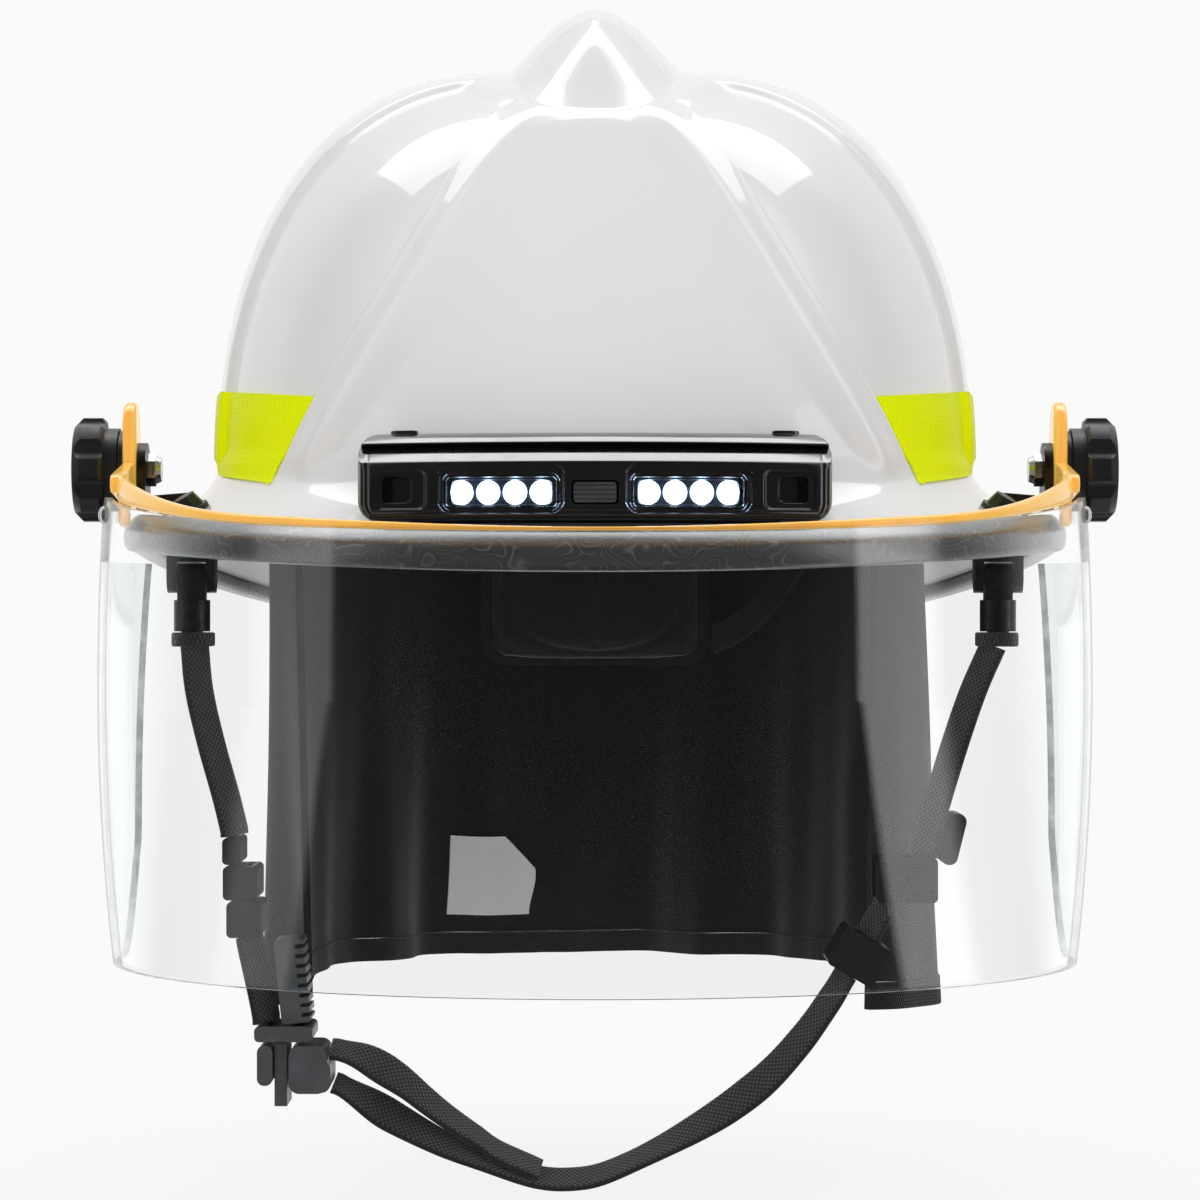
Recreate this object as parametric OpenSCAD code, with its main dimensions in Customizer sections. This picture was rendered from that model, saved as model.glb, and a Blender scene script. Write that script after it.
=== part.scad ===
// Fire helmet: moulded shell with comb and ribs, rubber-edged brim, front light bar, face shield
// on two pivot knobs, suspension with ratchet, neck curtain and chin strap.
// The wearer looks along -Y, +X is the right of a front view, +Z is up.
// The origin is the middle of the head opening, level with the brim at its sides.

/* [Shell] */
// Width of the shell body above the brim
body_w = 226; // [216:1:232]
// Length of the shell body above the brim
body_l = 260; // [250:1:266]
// Height of the crown beside the comb
crown_z = 138.3; // [130:0.1:144]
// Thickness of the shell wall
wall = 3.2; // [2.4:0.1:3.8]
// Height of the comb above the crown
comb_h = 16.3; // [10:0.1:20]
// Width of the comb at its foot
foot_w = 51; // [44:1:56]
// Length of the comb at its foot
foot_l = 196; // [180:1:200]
// How far the front panel dips between the ribs
panel_dip = 4.4; // [2:0.1:5]
// How far the side panels lie below the ribs
side_dip = 2.2; // [1:0.1:3]
// How far the two front ribs stand proud
rib_h = 1.2; // [0.4:0.1:2]

/* [Brim] */
// Width over the rubber edging
brim_w = 282; // [276:1:286]
// Length over the rubber edging
brim_l = 340; // [334:1:344]
// How far the brim dips at the front
front_dip = 7.3; // [4:0.1:9]
// How far the brim droops at the rear
rear_dip = 28; // [20:0.5:32]
// Height of the rubber edging
edging_h = 11; // [9:0.5:13]
// Thickness of the edging outside the brim's edge
edging_web = 2.4; // [1.6:0.1:3]
// How deep the edging grips the brim
edging_grip = 5.5; // [4:0.1:6.5]
// Thickness of the reflective trim
trim_t = 0.6; // [0.4:0.1:1]

/* [Liner and suspension] */
// Thickness of the impact liner
liner_t = 14; // [10:0.5:16]
// Width of the headband across the temples
band_w = 158; // [150:1:162]
// Length of the headband, brow to nape
band_l = 198; // [190:1:202]
// Height of the headband
band_h = 28; // [24:1:32]
// Thickness of the headband
band_t = 1.8; // [1.4:0.1:2.4]
// Thickness of the brow and nape pads
pad_t = 7; // [5:0.5:8]
// Width of the crown webbing
crown_strap_w = 19; // [14:1:22]
// Thickness of the crown webbing
crown_strap_t = 1.4; // [1:0.1:1.8]

/* [Ratchet] */
// Radius of the pinion at its pitch line
pinion_r = 9; // [9:1:9]
// Number of pinion teeth
pinion_n = 12; // [12:1:12]
// Diameter of the ratchet knob
ratchet_d = 34; // [30:1:38]
// Diameter of the ratchet spindle
spindle_d = 6; // [4:0.5:7]
// Travel of each adjusting strip
rack_travel = 8; // [4:0.5:9]

/* [Light bar] */
// Width of the light housing
light_w = 127.5; // [120:0.5:134]
// Height of the light housing
light_h = 24; // [22:0.5:27]
// Depth of the light housing
light_d = 21; // [19:0.5:23]
// Radius of the curved front face, seen from above
light_r = 150; // [130:5:200]
// Diameter of each LED lens
led_d = 6.6; // [5:0.1:6.9]
// Distance from one LED to the next
led_pitch = 7.2; // [7:0.1:7.6]
// Travel of the push button
button_travel = 1.4; // [0.8:0.1:2]

/* [Face shield] */
// Half the outside width of the shield
shield_r = 145; // [144:0.5:147]
// Length of the shield's oval from its widest line to its front
shield_l = 137; // [136:0.5:139]
// Height of the bottom edge, below the brim
shield_drop = 125; // [100:1:150]
// Thickness of the clear sheet
shield_t = 2.2; // [1.6:0.1:3]
// Distance of the pivot axis in front of the origin
pivot_y = 22; // [20:0.5:26]
// Height of the pivot axis
pivot_z = 18.5; // [18:0.5:21]
// Diameter of the pivot bolts
bolt_d = 6; // [5:0.5:7]
// Diameter of the pivot knobs
knob_d = 30.8; // [26:0.2:32]
// Thickness of the amber frame's ears
ear_t = 3.6; // [2.8:0.1:4]

/* [Chin strap] */
// Width of the chin webbing
web_w = 19; // [16:1:21]
// Thickness of the chin webbing
web_t = 1.8; // [1.4:0.1:2.2]
// Height of the swing axis at the strap anchors
anchor_z = -13; // [-15:0.5:-12]

/* [Neck curtain] */
// Length of the curtain below the shell
curtain_h = 142; // [120:1:150]
// Thickness of the quilted curtain
curtain_t = 2.6; // [1.6:0.1:3]
// Depth of the curtain's folds at its hem
fold_d = 6; // [3:0.5:8]

/* [Hanging ring] */
// Bore of the hanging ring
ring_bore = 24; // [20:1:26]
// Diameter of the ring's wire
ring_wire = 4; // [3:0.5:5]

/* [Fit] */
// Running clearance of pins in their bores, on the radius
run_fit = 0.08; // [0.03:0.01:0.1]
// Gap between pieces that move past each other
gap = 0.4; // [0.3:0.05:0.6]
// Gap between pieces that are fixed together
seat = 0.2; // [0.1:0.05:0.3]

/* [Hidden] */

// Plain colours, as seen
white = "#e9e9e6";
black = "#1d1d1f";
rubber_grey = "#3b3c3e";
lime = "#cfe23a";
amber = "#c98a1e";
steel = "#b9bcc0";

// Fineness of the shell: columns across each front field and behind, rows up the wall
rear_columns = 13;
wall_rows = [0, 0.01, 0.0575, 0.107, 0.2, 0.28, 0.37, 0.46, 0.55, 0.64, 0.73, 0.81, 0.88, 0.95, 1];
brim_rows = [0, 0.2, 0.45, 0.65, 0.8, 0.92];
comb_rows = [0.88, 0.74, 0.6, 0.44, 0.27, 0.1];

// Ovals in plan: centres ahead of or behind the origin, and how square each one is
brim_y = 5;
body_y = 2;
foot_y = 6;
brim_square = 2.08;
body_square = 2.25;
foot_square = 3.5;
comb_square = 2.4;
// The superellipse of the wall, seen from the side: power upwards and powers outwards
wall_up = 2.25;
wall_out_front = 1.6;
wall_out_rear = 2.0;
wall_out_side = 2.4;
// Fall of the crown line to the comb's two ends, and how far its nose and tail slope
crown_fall_front = 21.3;
crown_fall_rear = 27;
nose_l = 26;
tail_l = 34;
// Brim top over the middle of the edging, and its rise from the edge to the wall
brim_lip = 2;
flare_h = 12;
fillet_h = 3.5;

// Vectors, blends and powers that keep their sign
function unit(v) = v / norm(v);
function mix(a, b, t) = a + (b - a) * t;
function smooth(t) = let(u = min(1, max(0, t))) u * u * (3 - 2 * u);
function spow(v, e) = sign(v) * pow(abs(v), e);
function oval(a, b, yc, n, th) = [a * spow(sin(th), 2 / n), yc - b * spow(cos(th), 2 / n)];
function flip_x(p) = [-p.x, p.y, p.z];

// Height of the middle of the brim's edge, and of the crown line, at a place along Y
function brim_z(y) = y < 0 ? -front_dip * pow(-y / 165, 1.8) : -rear_dip * pow(y / 175, 1.4);
function crown_line(y) = crown_z - (y < foot_y ? crown_fall_front : crown_fall_rear)
    * pow(abs(y - foot_y) / (foot_l / 2), 2.2);

// The shell's rings in plan at an angle from the front: brim edge, wall base and comb foot
function edge_ring(th) = oval(brim_w / 2 - edging_web, brim_l / 2 - edging_web, brim_y, brim_square, th);
function base_ring(th) = oval(body_w / 2, body_l / 2, body_y, body_square, th);
function foot_ring(th) = oval(foot_w / 2, foot_l / 2, foot_y, foot_square, th);
function base_z(y) = brim_z(y) + brim_lip + flare_h + fillet_h;
function wall_power(th) = mix(cos(th) > 0 ? wall_out_front : wall_out_rear, wall_out_side, pow(sin(th), 2));

// A point of the brim, f of the way from its edge to the wall, raised by up
function brim_pt(th, f, up = 0, in = 0) = let(
    e = edge_ring(th), b = base_ring(th), p = mix(e, b, f) + unit(b - e) * in, u = max(0, f - 0.2) / 0.8)
    [p.x, p.y, brim_z(mix(e, b, u).y) + brim_lip + flare_h * pow(u, 1.2) + fillet_h * pow(f, 8) + up];

// A point of the wall, tau of the way up, moved out by off along the surface's normal
function wall_pt(th, tau, off = 0) = let(
    b = base_ring(th), f = foot_ring(th), zb = base_z(b.y), zf = crown_line(f.y), p = wall_power(th),
    out = pow(cos(90 * tau), 2 / p), up = pow(sin(90 * tau), 2 / wall_up), d = b - f,
    n = unit([p * pow(out, p - 1) / norm(d), wall_up * pow(up, wall_up - 1) / (zf - zb)]),
    q = f + d * out + unit(d) * off * n.x)
    [q.x, q.y, zb + (zf - zb) * up + off * n.y];

// A point of the comb: s runs from 1 at its foot to 0 at its crest
function comb_pt(th, s, in = 0) = let(
    c = oval(foot_w / 2 * s - in * s, foot_l / 2 - (nose_l + tail_l) / 2 * (1 - s) - in,
        foot_y + (nose_l - tail_l) / 2 * (1 - s), mix(comb_square, foot_square, s), th))
    [c.x, c.y, crown_line(c.y) + comb_h * pow(1 - s * s, 1.3) - in * 1.4];

// Fields of the shell's front. Field lines 0 to 7 run up the shell: front middle, edge of the
// front dip, rib crest, rib foot, side panel, panel's rear, edge of the rear body, rear middle.
function field_angle(k, tau) = let(rib = 18 + 26.2 * pow(1 - tau, 3.2))
    k == 0 ? 0 : k == 1 ? rib * (0.92 - 0.6 * tau) : k == 2 ? rib
    : k == 3 ? rib + 5 + 12 * pow(tau, 3) : k == 4 ? rib + 7.5 + 12 * pow(tau, 3)
    : k == 5 ? 73 - 13 * tau : k == 6 ? 76 - 13 * tau : 180;
function field_dip(k, tau) = let(
    base = smooth(tau / 0.03), front = base * smooth((1 - tau) / 0.35), side = base * smooth((0.95 - tau) / 0.07))
    k == 0 ? -panel_dip * front : k == 1 ? -0.7 * panel_dip * front
    : k == 2 ? rib_h * base * smooth((1 - tau) / 0.08) : k == 4 || k == 5 ? -side_dip * side : 0;
function column_angle(g, tau) = let(k = min(6, floor(g)))
    mix(field_angle(k, tau), field_angle(k + 1, tau), g - k);
function dip(g, tau) = let(k = min(6, floor(g)))
    mix(field_dip(k, tau), field_dip(k + 1, tau), smooth(g - k));
function shell_pt(g, tau, off = 0) = wall_pt(column_angle(g, tau), tau, dip(g, tau) + off);

// Columns of the shell's right half, front to rear, and a ring completed by its mirror image
columns = [0, 0.35, 0.7, 1, 1.35, 1.7, 2, 2.5, 3, 4, 4.25, 4.5, 4.75, 5, 5.5, 6,
    for (i = [1:rear_columns]) 6 + i / rear_columns];
function mirrored(half) = concat(half, [for (i = [len(half) - 2:-1:1]) flip_x(half[i])]);
function steps(a, b, n) = [for (i = [0:n]) a + (b - a) * i / n];

// Triangles between rings of m points, one above the next; looped joins the last to the first
function between(n, m, looped = false) = [for (i = [0:n - (looped ? 1 : 2)], j = [0:m - 1])
    let(a = i * m + j, b = i * m + (j + 1) % m, c = ((i + 1) % n) * m + (j + 1) % m, d = ((i + 1) % n) * m + j)
    each [[a, b, c], [a, c, d]]];
// Triangles that close a mirrored ring of m points across its own middle line
function zip(m, o) = [[o, o + 1, o + m - 1], [o + m / 2 - 1, o + m / 2, o + m / 2 + 1],
    for (j = [1:m / 2 - 2]) each [[o + j, o + j + 1, o + m - j - 1], [o + j, o + m - j - 1, o + m - j]]];
function turned(faces) = [for (f = faces) [f[0], f[2], f[1]]];
function fan(m, o) = [for (j = [1:m - 2]) [o, o + j, o + j + 1]];

// Triangles that close a thin ring whose two halves run side by side
function strip(m, o) = [for (j = [0:m / 2 - 2]) each [[o + j, o + j + 1, o + m - 2 - j], [o + j, o + m - 2 - j, o + m - 1 - j]]];

// A closed solid from rings, its ends zipped across the middle, fanned or stripped, or looped round
module skin(rings, ends = "fan", turn = false) {
    n = len(rings);
    m = len(rings[0]);
    last = (n - 1) * m;
    caps = ends == "loop" ? [] : ends == "zip" ? concat(turned(zip(m, 0)), zip(m, last))
        : ends == "strip" ? concat(turned(strip(m, 0)), strip(m, last)) : concat(turned(fan(m, 0)), fan(m, last));
    faces = concat(between(n, m, ends == "loop"), caps);
    polyhedron(points = [for (r = rings) each r], faces = turn ? turned(faces) : faces);
}

// A sheet with thickness from two grids of the same size, rows of points side by side
module plate(outer, inner) {
    skin([for (i = [0:len(outer[0]) - 1])
        concat([for (j = [0:len(outer) - 1]) outer[j][i]], [for (j = [len(outer) - 1:-1:0]) inner[j][i]])], "strip");
}

// Moulded shell: underside, brim and wall in one skin of even thickness
module outer_shell() {
    inner_rows = [0, 0.13, 0.28, 0.46, 0.64, 0.81, 0.95];
    rings = concat(
        [for (s = [0.1, 0.44, 0.74]) mirrored([for (g = columns) comb_pt(column_angle(g, 1), s, wall * 0.75)])],
        [for (i = [len(inner_rows) - 1:-1:0])
            mirrored([for (g = columns) shell_pt(g, inner_rows[i], -wall)])],
        [for (i = [4, 3, 2, 1, 0]) mirrored([for (g = columns)
            brim_pt(column_angle(g, 0), brim_rows[i], -wall, wall * pow(brim_rows[i], 4))])],
        [for (f = brim_rows) mirrored([for (g = columns) brim_pt(column_angle(g, 0), f)])],
        [for (tau = wall_rows) mirrored([for (g = columns) shell_pt(g, tau)])],
        [for (s = comb_rows) mirrored([for (g = columns) comb_pt(column_angle(g, 1), s)])]);
    color(white) skin(rings, "zip", true);
}

// Rubber edging: a channel that grips the brim's edge all round
module brim_edging() {
    h = edging_h / 2;
    lip = edging_grip;
    profile = [[edging_web - 0.8, -h], [edging_web, 1 - h], [edging_web, h - 1], [edging_web - 0.8, h],
        [1 - lip, h], [-lip, h - 1.3], [-lip, brim_lip + 2 * seat], [seat, brim_lip + seat],
        [seat, brim_lip - wall - seat], [-lip, brim_lip - wall - 2 * seat], [-lip, 1.3 - h], [1 - lip, -h]];
    color(rubber_grey) skin([for (q = profile) mirrored([for (g = columns)
        let(th = column_angle(g, 0), p = edge_ring(th), t = unit(edge_ring(th + 0.5) - edge_ring(th - 0.5)))
        [p.x + t.y * q[0], p.y - t.x * q[0], brim_z(p.y) + q[1]]])], "loop", true);
}

// One patch of trim that follows the shell over a run of its columns, taken along the ring: those
// of the left half are given as negative numbers
module trim_patch(run) {
    grid = function(off) [for (i = [1:3]) [for (g = run)
        let(p = shell_pt(abs(g), wall_rows[i], off)) g < 0 ? flip_x(p) : p]];
    plate(grid(seat + 0.2 + trim_t), grid(seat + 0.2));
}
// The columns of one side's run between two of them, and the same run on the other side
function span(g0, g1) = [for (g = columns) if (g > g0 - 0.01 && g < g1 + 0.01) g];
function opposite(run) = [for (i = [len(run) - 1:-1:0]) -run[i]];
module reflective_trim() {
    front = span(4, 6 + 2 / rear_columns);
    side = span(6 + 5 / rear_columns, 6 + 8 / rear_columns);
    rear = span(6 + 11 / rear_columns, 7);
    color(lime) {
        for (run = [front, side]) {
            trim_patch(run);
            trim_patch(opposite(run));
        }
        trim_patch(concat(rear, [for (i = [1:len(rear) - 1]) opposite(rear)[i]]));
    }
}

// Energy-absorbing liner under the shell
liner_off = wall + panel_dip + 1.9;
module impact_liner() {
    rows = [0.09, 0.22, 0.36, 0.5, 0.64, 0.8, 1];
    ring = function(tau, off) mirrored([for (th = steps(0, 180, 16)) wall_pt(th, tau, off)]);
    color("#8e8f8a") skin(concat([for (i = [6:-1:0]) ring(rows[i], -liner_off)],
        [for (tau = rows) ring(tau, -liner_off - liner_t)]), "zip");
}

// Suspension. Lugs sit inside the shell's base at three columns on each side.
lug_columns = [4.5, 6.2, 6.72];
lug = [5, 16, 13];
hanger_t = 2;
strap_off = liner_off + liner_t + 3.6;
function lug_spot(g) = let(p = shell_pt(g, 0.05, -wall - 1.35), q = shell_pt(g + 0.02, 0.05, -wall - 1.35),
    r = shell_pt(g - 0.02, 0.05, -wall - 1.35)) [p, atan2(r.x - q.x, q.y - r.y)];
module at_lug(g, side) {
    spot = lug_spot(g);
    mirror([side < 0 ? 1 : 0, 0, 0]) translate(spot[0]) rotate([0, 0, spot[1]]) children();
}
module suspension_lugs() {
    color(black) for (side = [1, -1], g = lug_columns)
        at_lug(g, side) translate([-lug.x, -lug.y / 2, -lug.z / 2]) difference() {
            cube(lug);
            translate([-1, lug.y / 4, lug.z / 3]) cube([3.5, lug.y / 2, lug.z / 3]);
        }
}

// Headband: an oval strip open at the back, and the hangers that carry it from the lugs
band_z = 18;
band_square = 2.2;
band_end = 112;
function band_ring(th, in = 0) = oval(band_w / 2 - in, band_l / 2 - in, 0, band_square, th);
module headband() {
    color("#2b2c2f") skin([for (th = steps(-band_end, band_end, 40)) [for (q = [[0, 1], [0, -1], [1, -1], [1, 1]])
        let(p = band_ring(th, band_t * q[0])) [p.x, p.y, band_z + q[1] * band_h / 2]]], "strip", true);
}

// How far a lug's inner face stands out from the headband along its own direction
function hanger_reach(g) = let(spot = lug_spot(g), a = spot[1], c = [cos(a), sin(a)],
    hit = [for (k = [10:0.25:60]) let(p = [spot[0].x, spot[0].y] - c * (lug.x + k))
        if (pow(abs(p.x) / (band_w / 2), band_square) + pow(abs(p.y) / (band_l / 2), band_square) < 1) k])
    hit[0];
module band_hangers() {
    color("#2f3033") for (side = [1, -1], g = [lug_columns[0], lug_columns[1]]) {
        reach = hanger_reach(g);
        rise = lug_spot(g)[0].z - band_z;
        at_lug(g, side) translate([-lug.x - gap, 6, 0]) rotate([90, 0, 0]) linear_extrude(12)
            polygon([[0, -1], [0, 1], [-reach + 1.2, 1], [-reach + 1.2, -rise - 8],
                [-reach + 1.2 + hanger_t, -rise - 8], [-reach + 1.2 + hanger_t, -1]]);
    }
}

// Crown webbing: three straps stitched together where they cross under the liner
strap_taus = [0.064, 0.14, 0.25, 0.38, 0.52, 0.66, 0.8, 0.92];
function strap_line(th, k) = let(rear = abs(th) > 120 ? 1 : 0) concat([for (tau = strap_taus)
    wall_pt(th, tau, -strap_off - 1.9 * k - 6.4 * rear * smooth((1.06 - tau) / 0.2))
        - [0, 5 * rear * smooth((tau - 0.4) / 0.3), 0]], [[0, foot_y, crown_z - strap_off - 1.9 * k]]);
// A strip of width w and thickness t along points, its width along across at each one
module ribbon(line, across, w, t) {
    n = len(line);
    skin([for (i = [0:n - 1]) let(
        d = unit(line[min(n - 1, i + 1)] - line[max(0, i - 1)]),
        a = is_list(across[0]) ? across[i] : across,
        b = unit(a - d * (a * d)), c = cross(d, b))
        [for (q = [[1, 1], [-1, 1], [-1, -1], [1, -1]]) line[i] + b * q[0] * w / 2 + c * q[1] * t / 2]], "fan", true);
}
// Across a strap at a place on the wall: along the ring, blending to the run's own across at the top
function strap_across(th, run) = [for (tau = strap_taus) let(
    t = unit(wall_pt(th + 2, tau) - wall_pt(th - 2, tau)), u = smooth((tau - 0.5) / 0.42))
    unit(mix(t * run < 0 ? -t : t, run, u))];
module crown_straps() {
    ends = [[62, -151], [-62, 151], [97, -97]];
    color("#34353a") for (k = [0:2]) {
        a = strap_line(ends[k][0], k);
        b = strap_line(ends[k][1], k);
        run = unit(cross([0, 0, 1], b[0] - a[0]));
        back = strap_across(ends[k][1], run);
        n = len(back);
        ribbon(concat(a, [for (i = [n - 1:-1:0]) b[i]]),
            concat(strap_across(ends[k][0], run), [run], [for (i = [n - 1:-1:0]) back[i]]),
            crown_strap_w, crown_strap_t);
    }
}

// Soft pads: flat where they are fixed, swelling towards the head
module crown_pad() {
    color("#242528") translate([0, foot_y, crown_z - strap_off - 1.9 * 2 - crown_strap_t / 2 - 4.6 - pad_t])
        rotate_extrude($fn = 40) polygon([[0, 0], [14, 0.4], [22, 1.6], [26.6, 3.2], [26, 4.6], [18, pad_t - 0.9],
            [9, pad_t + 0.8], [0, pad_t + 1.4]]);
}
// A pad along the inside of the headband's oval, crowned across its height
module band_pad(from, to, zc, h, in, n) {
    skin([for (th = steps(from, to, n)) let(
        e = sqrt(max(0, 1 - pow(abs(th - (from + to) / 2) / ((to - from) / 2), 6))) * 0.75 + 0.25)
        [for (q = [[0, 0.5], [0, -0.5], [0.6, -0.47], [1, -0.25], [1.06, 0], [1, 0.25], [0.6, 0.47]])
            let(p = band_ring(th, in + pad_t * q[0] * e)) [p.x, p.y, zc + h * q[1]]]], "fan", true);
}
module brow_pad() {
    color("#242528") band_pad(-66, 66, band_z, band_h - 3, band_t + seat, 22);
}

// Ratchet at the nape. Its spindle lies along Y, its two racks run along X.
nape_z = -20;
housing_y = 96.5;
housing = [74, 7.5, 42];
plate_t = 2;
rack_t = 3.2;
rack_y = housing_y + plate_t + gap;
cover_t = 2.6;
cover_y = housing_y + housing.y + 0.05;
knob_depth = 11;
pitch = 2 * 180 * pinion_r / pinion_n * PI / 180;
tooth_add = 1;
tooth_ded = 1.5;
backlash = 0.3;
base_r = pinion_r * cos(20);
// An involute's point at radius r, as an angle from where it leaves the base circle
function involute(r) = let(t = sqrt(max(0, pow(r / base_r, 2) - 1))) t * 180 / PI - atan(t);
function flank(r) = 90 / pinion_n - backlash * 45 / (PI * pinion_r) + involute(pinion_r) - involute(r);
module ratchet_pinion() {
    radii = [pinion_r - tooth_ded, base_r, mix(base_r, pinion_r, 0.6), pinion_r + 0.4, pinion_r + tooth_add];
    color("#d8d8d4") translate([0, rack_y, nape_z]) rotate([-90, 0, 0]) {
        linear_extrude(rack_t) polygon([for (k = [0:pinion_n - 1]) each concat(
            [for (r = radii) let(a = (k + 0.5) * 360 / pinion_n - 180 / pinion_n - flank(r)) r * [cos(a), sin(a)]],
            [for (i = [4:-1:0]) let(r = radii[i], a = (k + 0.5) * 360 / pinion_n - 180 / pinion_n + flank(r))
                r * [cos(a), sin(a)]])]);
        translate([0, 0, -plate_t - gap + 0.3]) cylinder(d = spindle_d, h = housing.y + cover_t + knob_depth / 2);
    }
}
// Teeth along X whose tips point down from z = 0, centred so that a gap lies over the middle
module rack_teeth(n, t) {
    half = (pitch / 2 - backlash / 2) / 2;
    lean = tan(20);
    for (i = [0:n - 1]) translate([(i + 0.5) * pitch, 0, 0]) rotate([-90, 0, 0]) linear_extrude(t)
        polygon([[-half - tooth_ded * lean, -tooth_ded], [-half + tooth_add * lean, tooth_add],
            [half - tooth_add * lean, tooth_add], [half + tooth_ded * lean, -tooth_ded]]);
}
rack_bar = 5;
module rack(teeth_from, teeth) {
    translate([0, rack_y, pinion_r]) translate([teeth_from * pitch, 0, 0]) rack_teeth(teeth, rack_t);
}
// A strip from behind the temple down to the nape, ending in a toothed bar through the housing
module adjust_strip(side) {
    bar_z = side < 0 ? nape_z + pinion_r + tooth_ded + rack_bar / 2 : nape_z - pinion_r - tooth_ded - rack_bar / 2;
    n = 15;
    end_x = housing.x / 2 + 4;
    tail = 12 + rack_travel;
    line = [for (i = [0:n]) let(
        th = mix(band_end - 8, 157, i / n), p = band_ring(th, -1.3), u = smooth(i / n),
        q = i == n ? [end_x, rack_y + rack_t / 2] : [p.x, min(p.y, rack_y + rack_t / 2)])
        [side * q.x, q.y, mix(band_z - 5, bar_z, u)]];
    color("#2b2c2f") {
        ribbon(line, [0, 0, 1], rack_bar + 4, band_t);
        translate([side > 0 ? -tail : -end_x - 0.5, rack_y, bar_z - rack_bar / 2])
            cube([end_x + tail + 0.5, rack_t, rack_bar]);
        translate([0, 0, nape_z]) mirror([0, 0, side > 0 ? 1 : 0]) rack(-4, 8);
    }
}
module adjust_strip_left() { adjust_strip(-1); }
module adjust_strip_right() { adjust_strip(1); }

module housing_plate(t, r = 8) {
    rotate([90, 0, 0]) translate([0, 0, -t]) linear_extrude(t) rounded(housing.x, housing.z, r);
}
// A rectangle with round corners, centred
module rounded(w, h, r) {
    square([w - 2 * r, h], center = true);
    square([w, h - 2 * r], center = true);
    for (x = [-1, 1], y = [-1, 1]) translate([x * (w / 2 - r), y * (h / 2 - r)]) circle(r, $fn = 32);
}
module ratchet_housing() {
    slot_z = pinion_r + tooth_ded + rack_bar + gap;
    color("#232427") translate([0, housing_y, nape_z]) difference() {
        housing_plate(housing.y);
        translate([-housing.x, plate_t, -slot_z]) cube([2 * housing.x, housing.y, 2 * slot_z]);
        rotate([-90, 0, 0]) cylinder(r = spindle_d / 2 + run_fit, h = 3 * plate_t, center = true, $fn = 48);
    }
}
module ratchet_cover() {
    color("#1c1d20") translate([0, cover_y, nape_z]) difference() {
        housing_plate(cover_t);
        rotate([-90, 0, 0]) cylinder(r = spindle_d / 2 + run_fit, h = 4 * cover_t, center = true, $fn = 48);
    }
}
module ratchet_knob() {
    color("#2a2b2e") translate([0, cover_y + cover_t + gap, nape_z]) rotate([-90, 0, 0]) difference() {
        union() {
            cylinder(d = ratchet_d, h = knob_depth - 2, $fn = 64);
            translate([0, 0, knob_depth - 2]) cylinder(d1 = ratchet_d, d2 = ratchet_d - 4, h = 2, $fn = 64);
        }
        for (i = [0:11]) rotate([0, 0, i * 30]) translate([ratchet_d / 2 + 1.2, 0, -1])
            cylinder(r = 2.4, h = knob_depth + 2, $fn = 24);
        translate([0, 0, -1]) cylinder(r = spindle_d / 2 + 0.05, h = knob_depth / 2 + 2, $fn = 48);
    }
}
module nape_pad() {
    color("#242528") skin([for (i = [0:14]) let(x = mix(-35, 35, i / 14), e = sqrt(max(0, 1 - pow(abs(x) / 35, 4))),
        y = housing_y - seat - 0.1 - 2 * pow(x / 35, 2))
        [for (q = [[0, 0.5], [0, -0.5], [0.6, -0.48], [1, -0.28], [1.1, 0], [1, 0.28], [0.6, 0.48]])
            [x, y - pad_t * q[0] * (0.3 + 0.7 * e), nape_z - 2 + 38 * q[1] * (0.8 + 0.2 * e)]]]);
}

// Neck curtain. Along it, u runs from -1 at the left front edge through 0 at the nape to 1.
curtain_half = body_w / 2 - 13;
curtain_rear = body_l / 2 - 5;
wing = 0.74;
function curtain_plan(u, v) = let(a = abs(u), s = u < 0 ? -1 : 1, th = mix(180, 99, min(1, a / wing)),
    p = oval(curtain_half, curtain_rear, 1, 2.15, th), t = max(0, a - wing) / (1 - wing),
    turn = s > 0 ? mix(0.7, 1, v) : 0.45)
    [s * (p.x - 21 * turn * pow(t, 1.6)), p.y - 27 * pow(t, 0.8)];
function curtain_pt(u, v, off = 0) = let(
    p = curtain_plan(u, v), q = curtain_plan(u + 0.004, v), r = curtain_plan(u - 0.004, v), d = unit(q - r),
    n = [-d.y, d.x], a = abs(u),
    fold = fold_d * pow(v, 1.3) * (0.62 * sin(u * 1260 + 40) + 0.38 * sin(u * 2020 - 70)) * (1 - 0.45 * smooth((a - 0.8) / 0.2)),
    flare = v * (u > 0 ? 7 : -4) * smooth((a - 0.35) / 0.3),
    top = brim_z(p.y) + 9, foot = -curtain_h + 6 - (u > 0 ? 5 : 1.5) * smooth((a - 0.5) / 0.3))
    [p.x + n.x * (fold + flare + off), p.y + n.y * (fold + flare + off), mix(top, foot, v)];
curtain_cols = 58;
function curtain_grid(from, to, rows, off) = [for (v = steps(from, to, rows)) [for (u = steps(-1, 1, curtain_cols))
    curtain_pt(u, v, off)]];
hem_at = 0.945;
module neck_curtain() {
    color(black) plate(curtain_grid(0, hem_at, 6, curtain_t / 2), curtain_grid(0, hem_at, 6, -curtain_t / 2));
}
module curtain_binding() {
    b = curtain_t / 2 + 0.6;
    color("#27282a") plate(curtain_grid(hem_at + 0.002, 1, 1, b), curtain_grid(hem_at + 0.002, 1, 1, -b));
}
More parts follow.
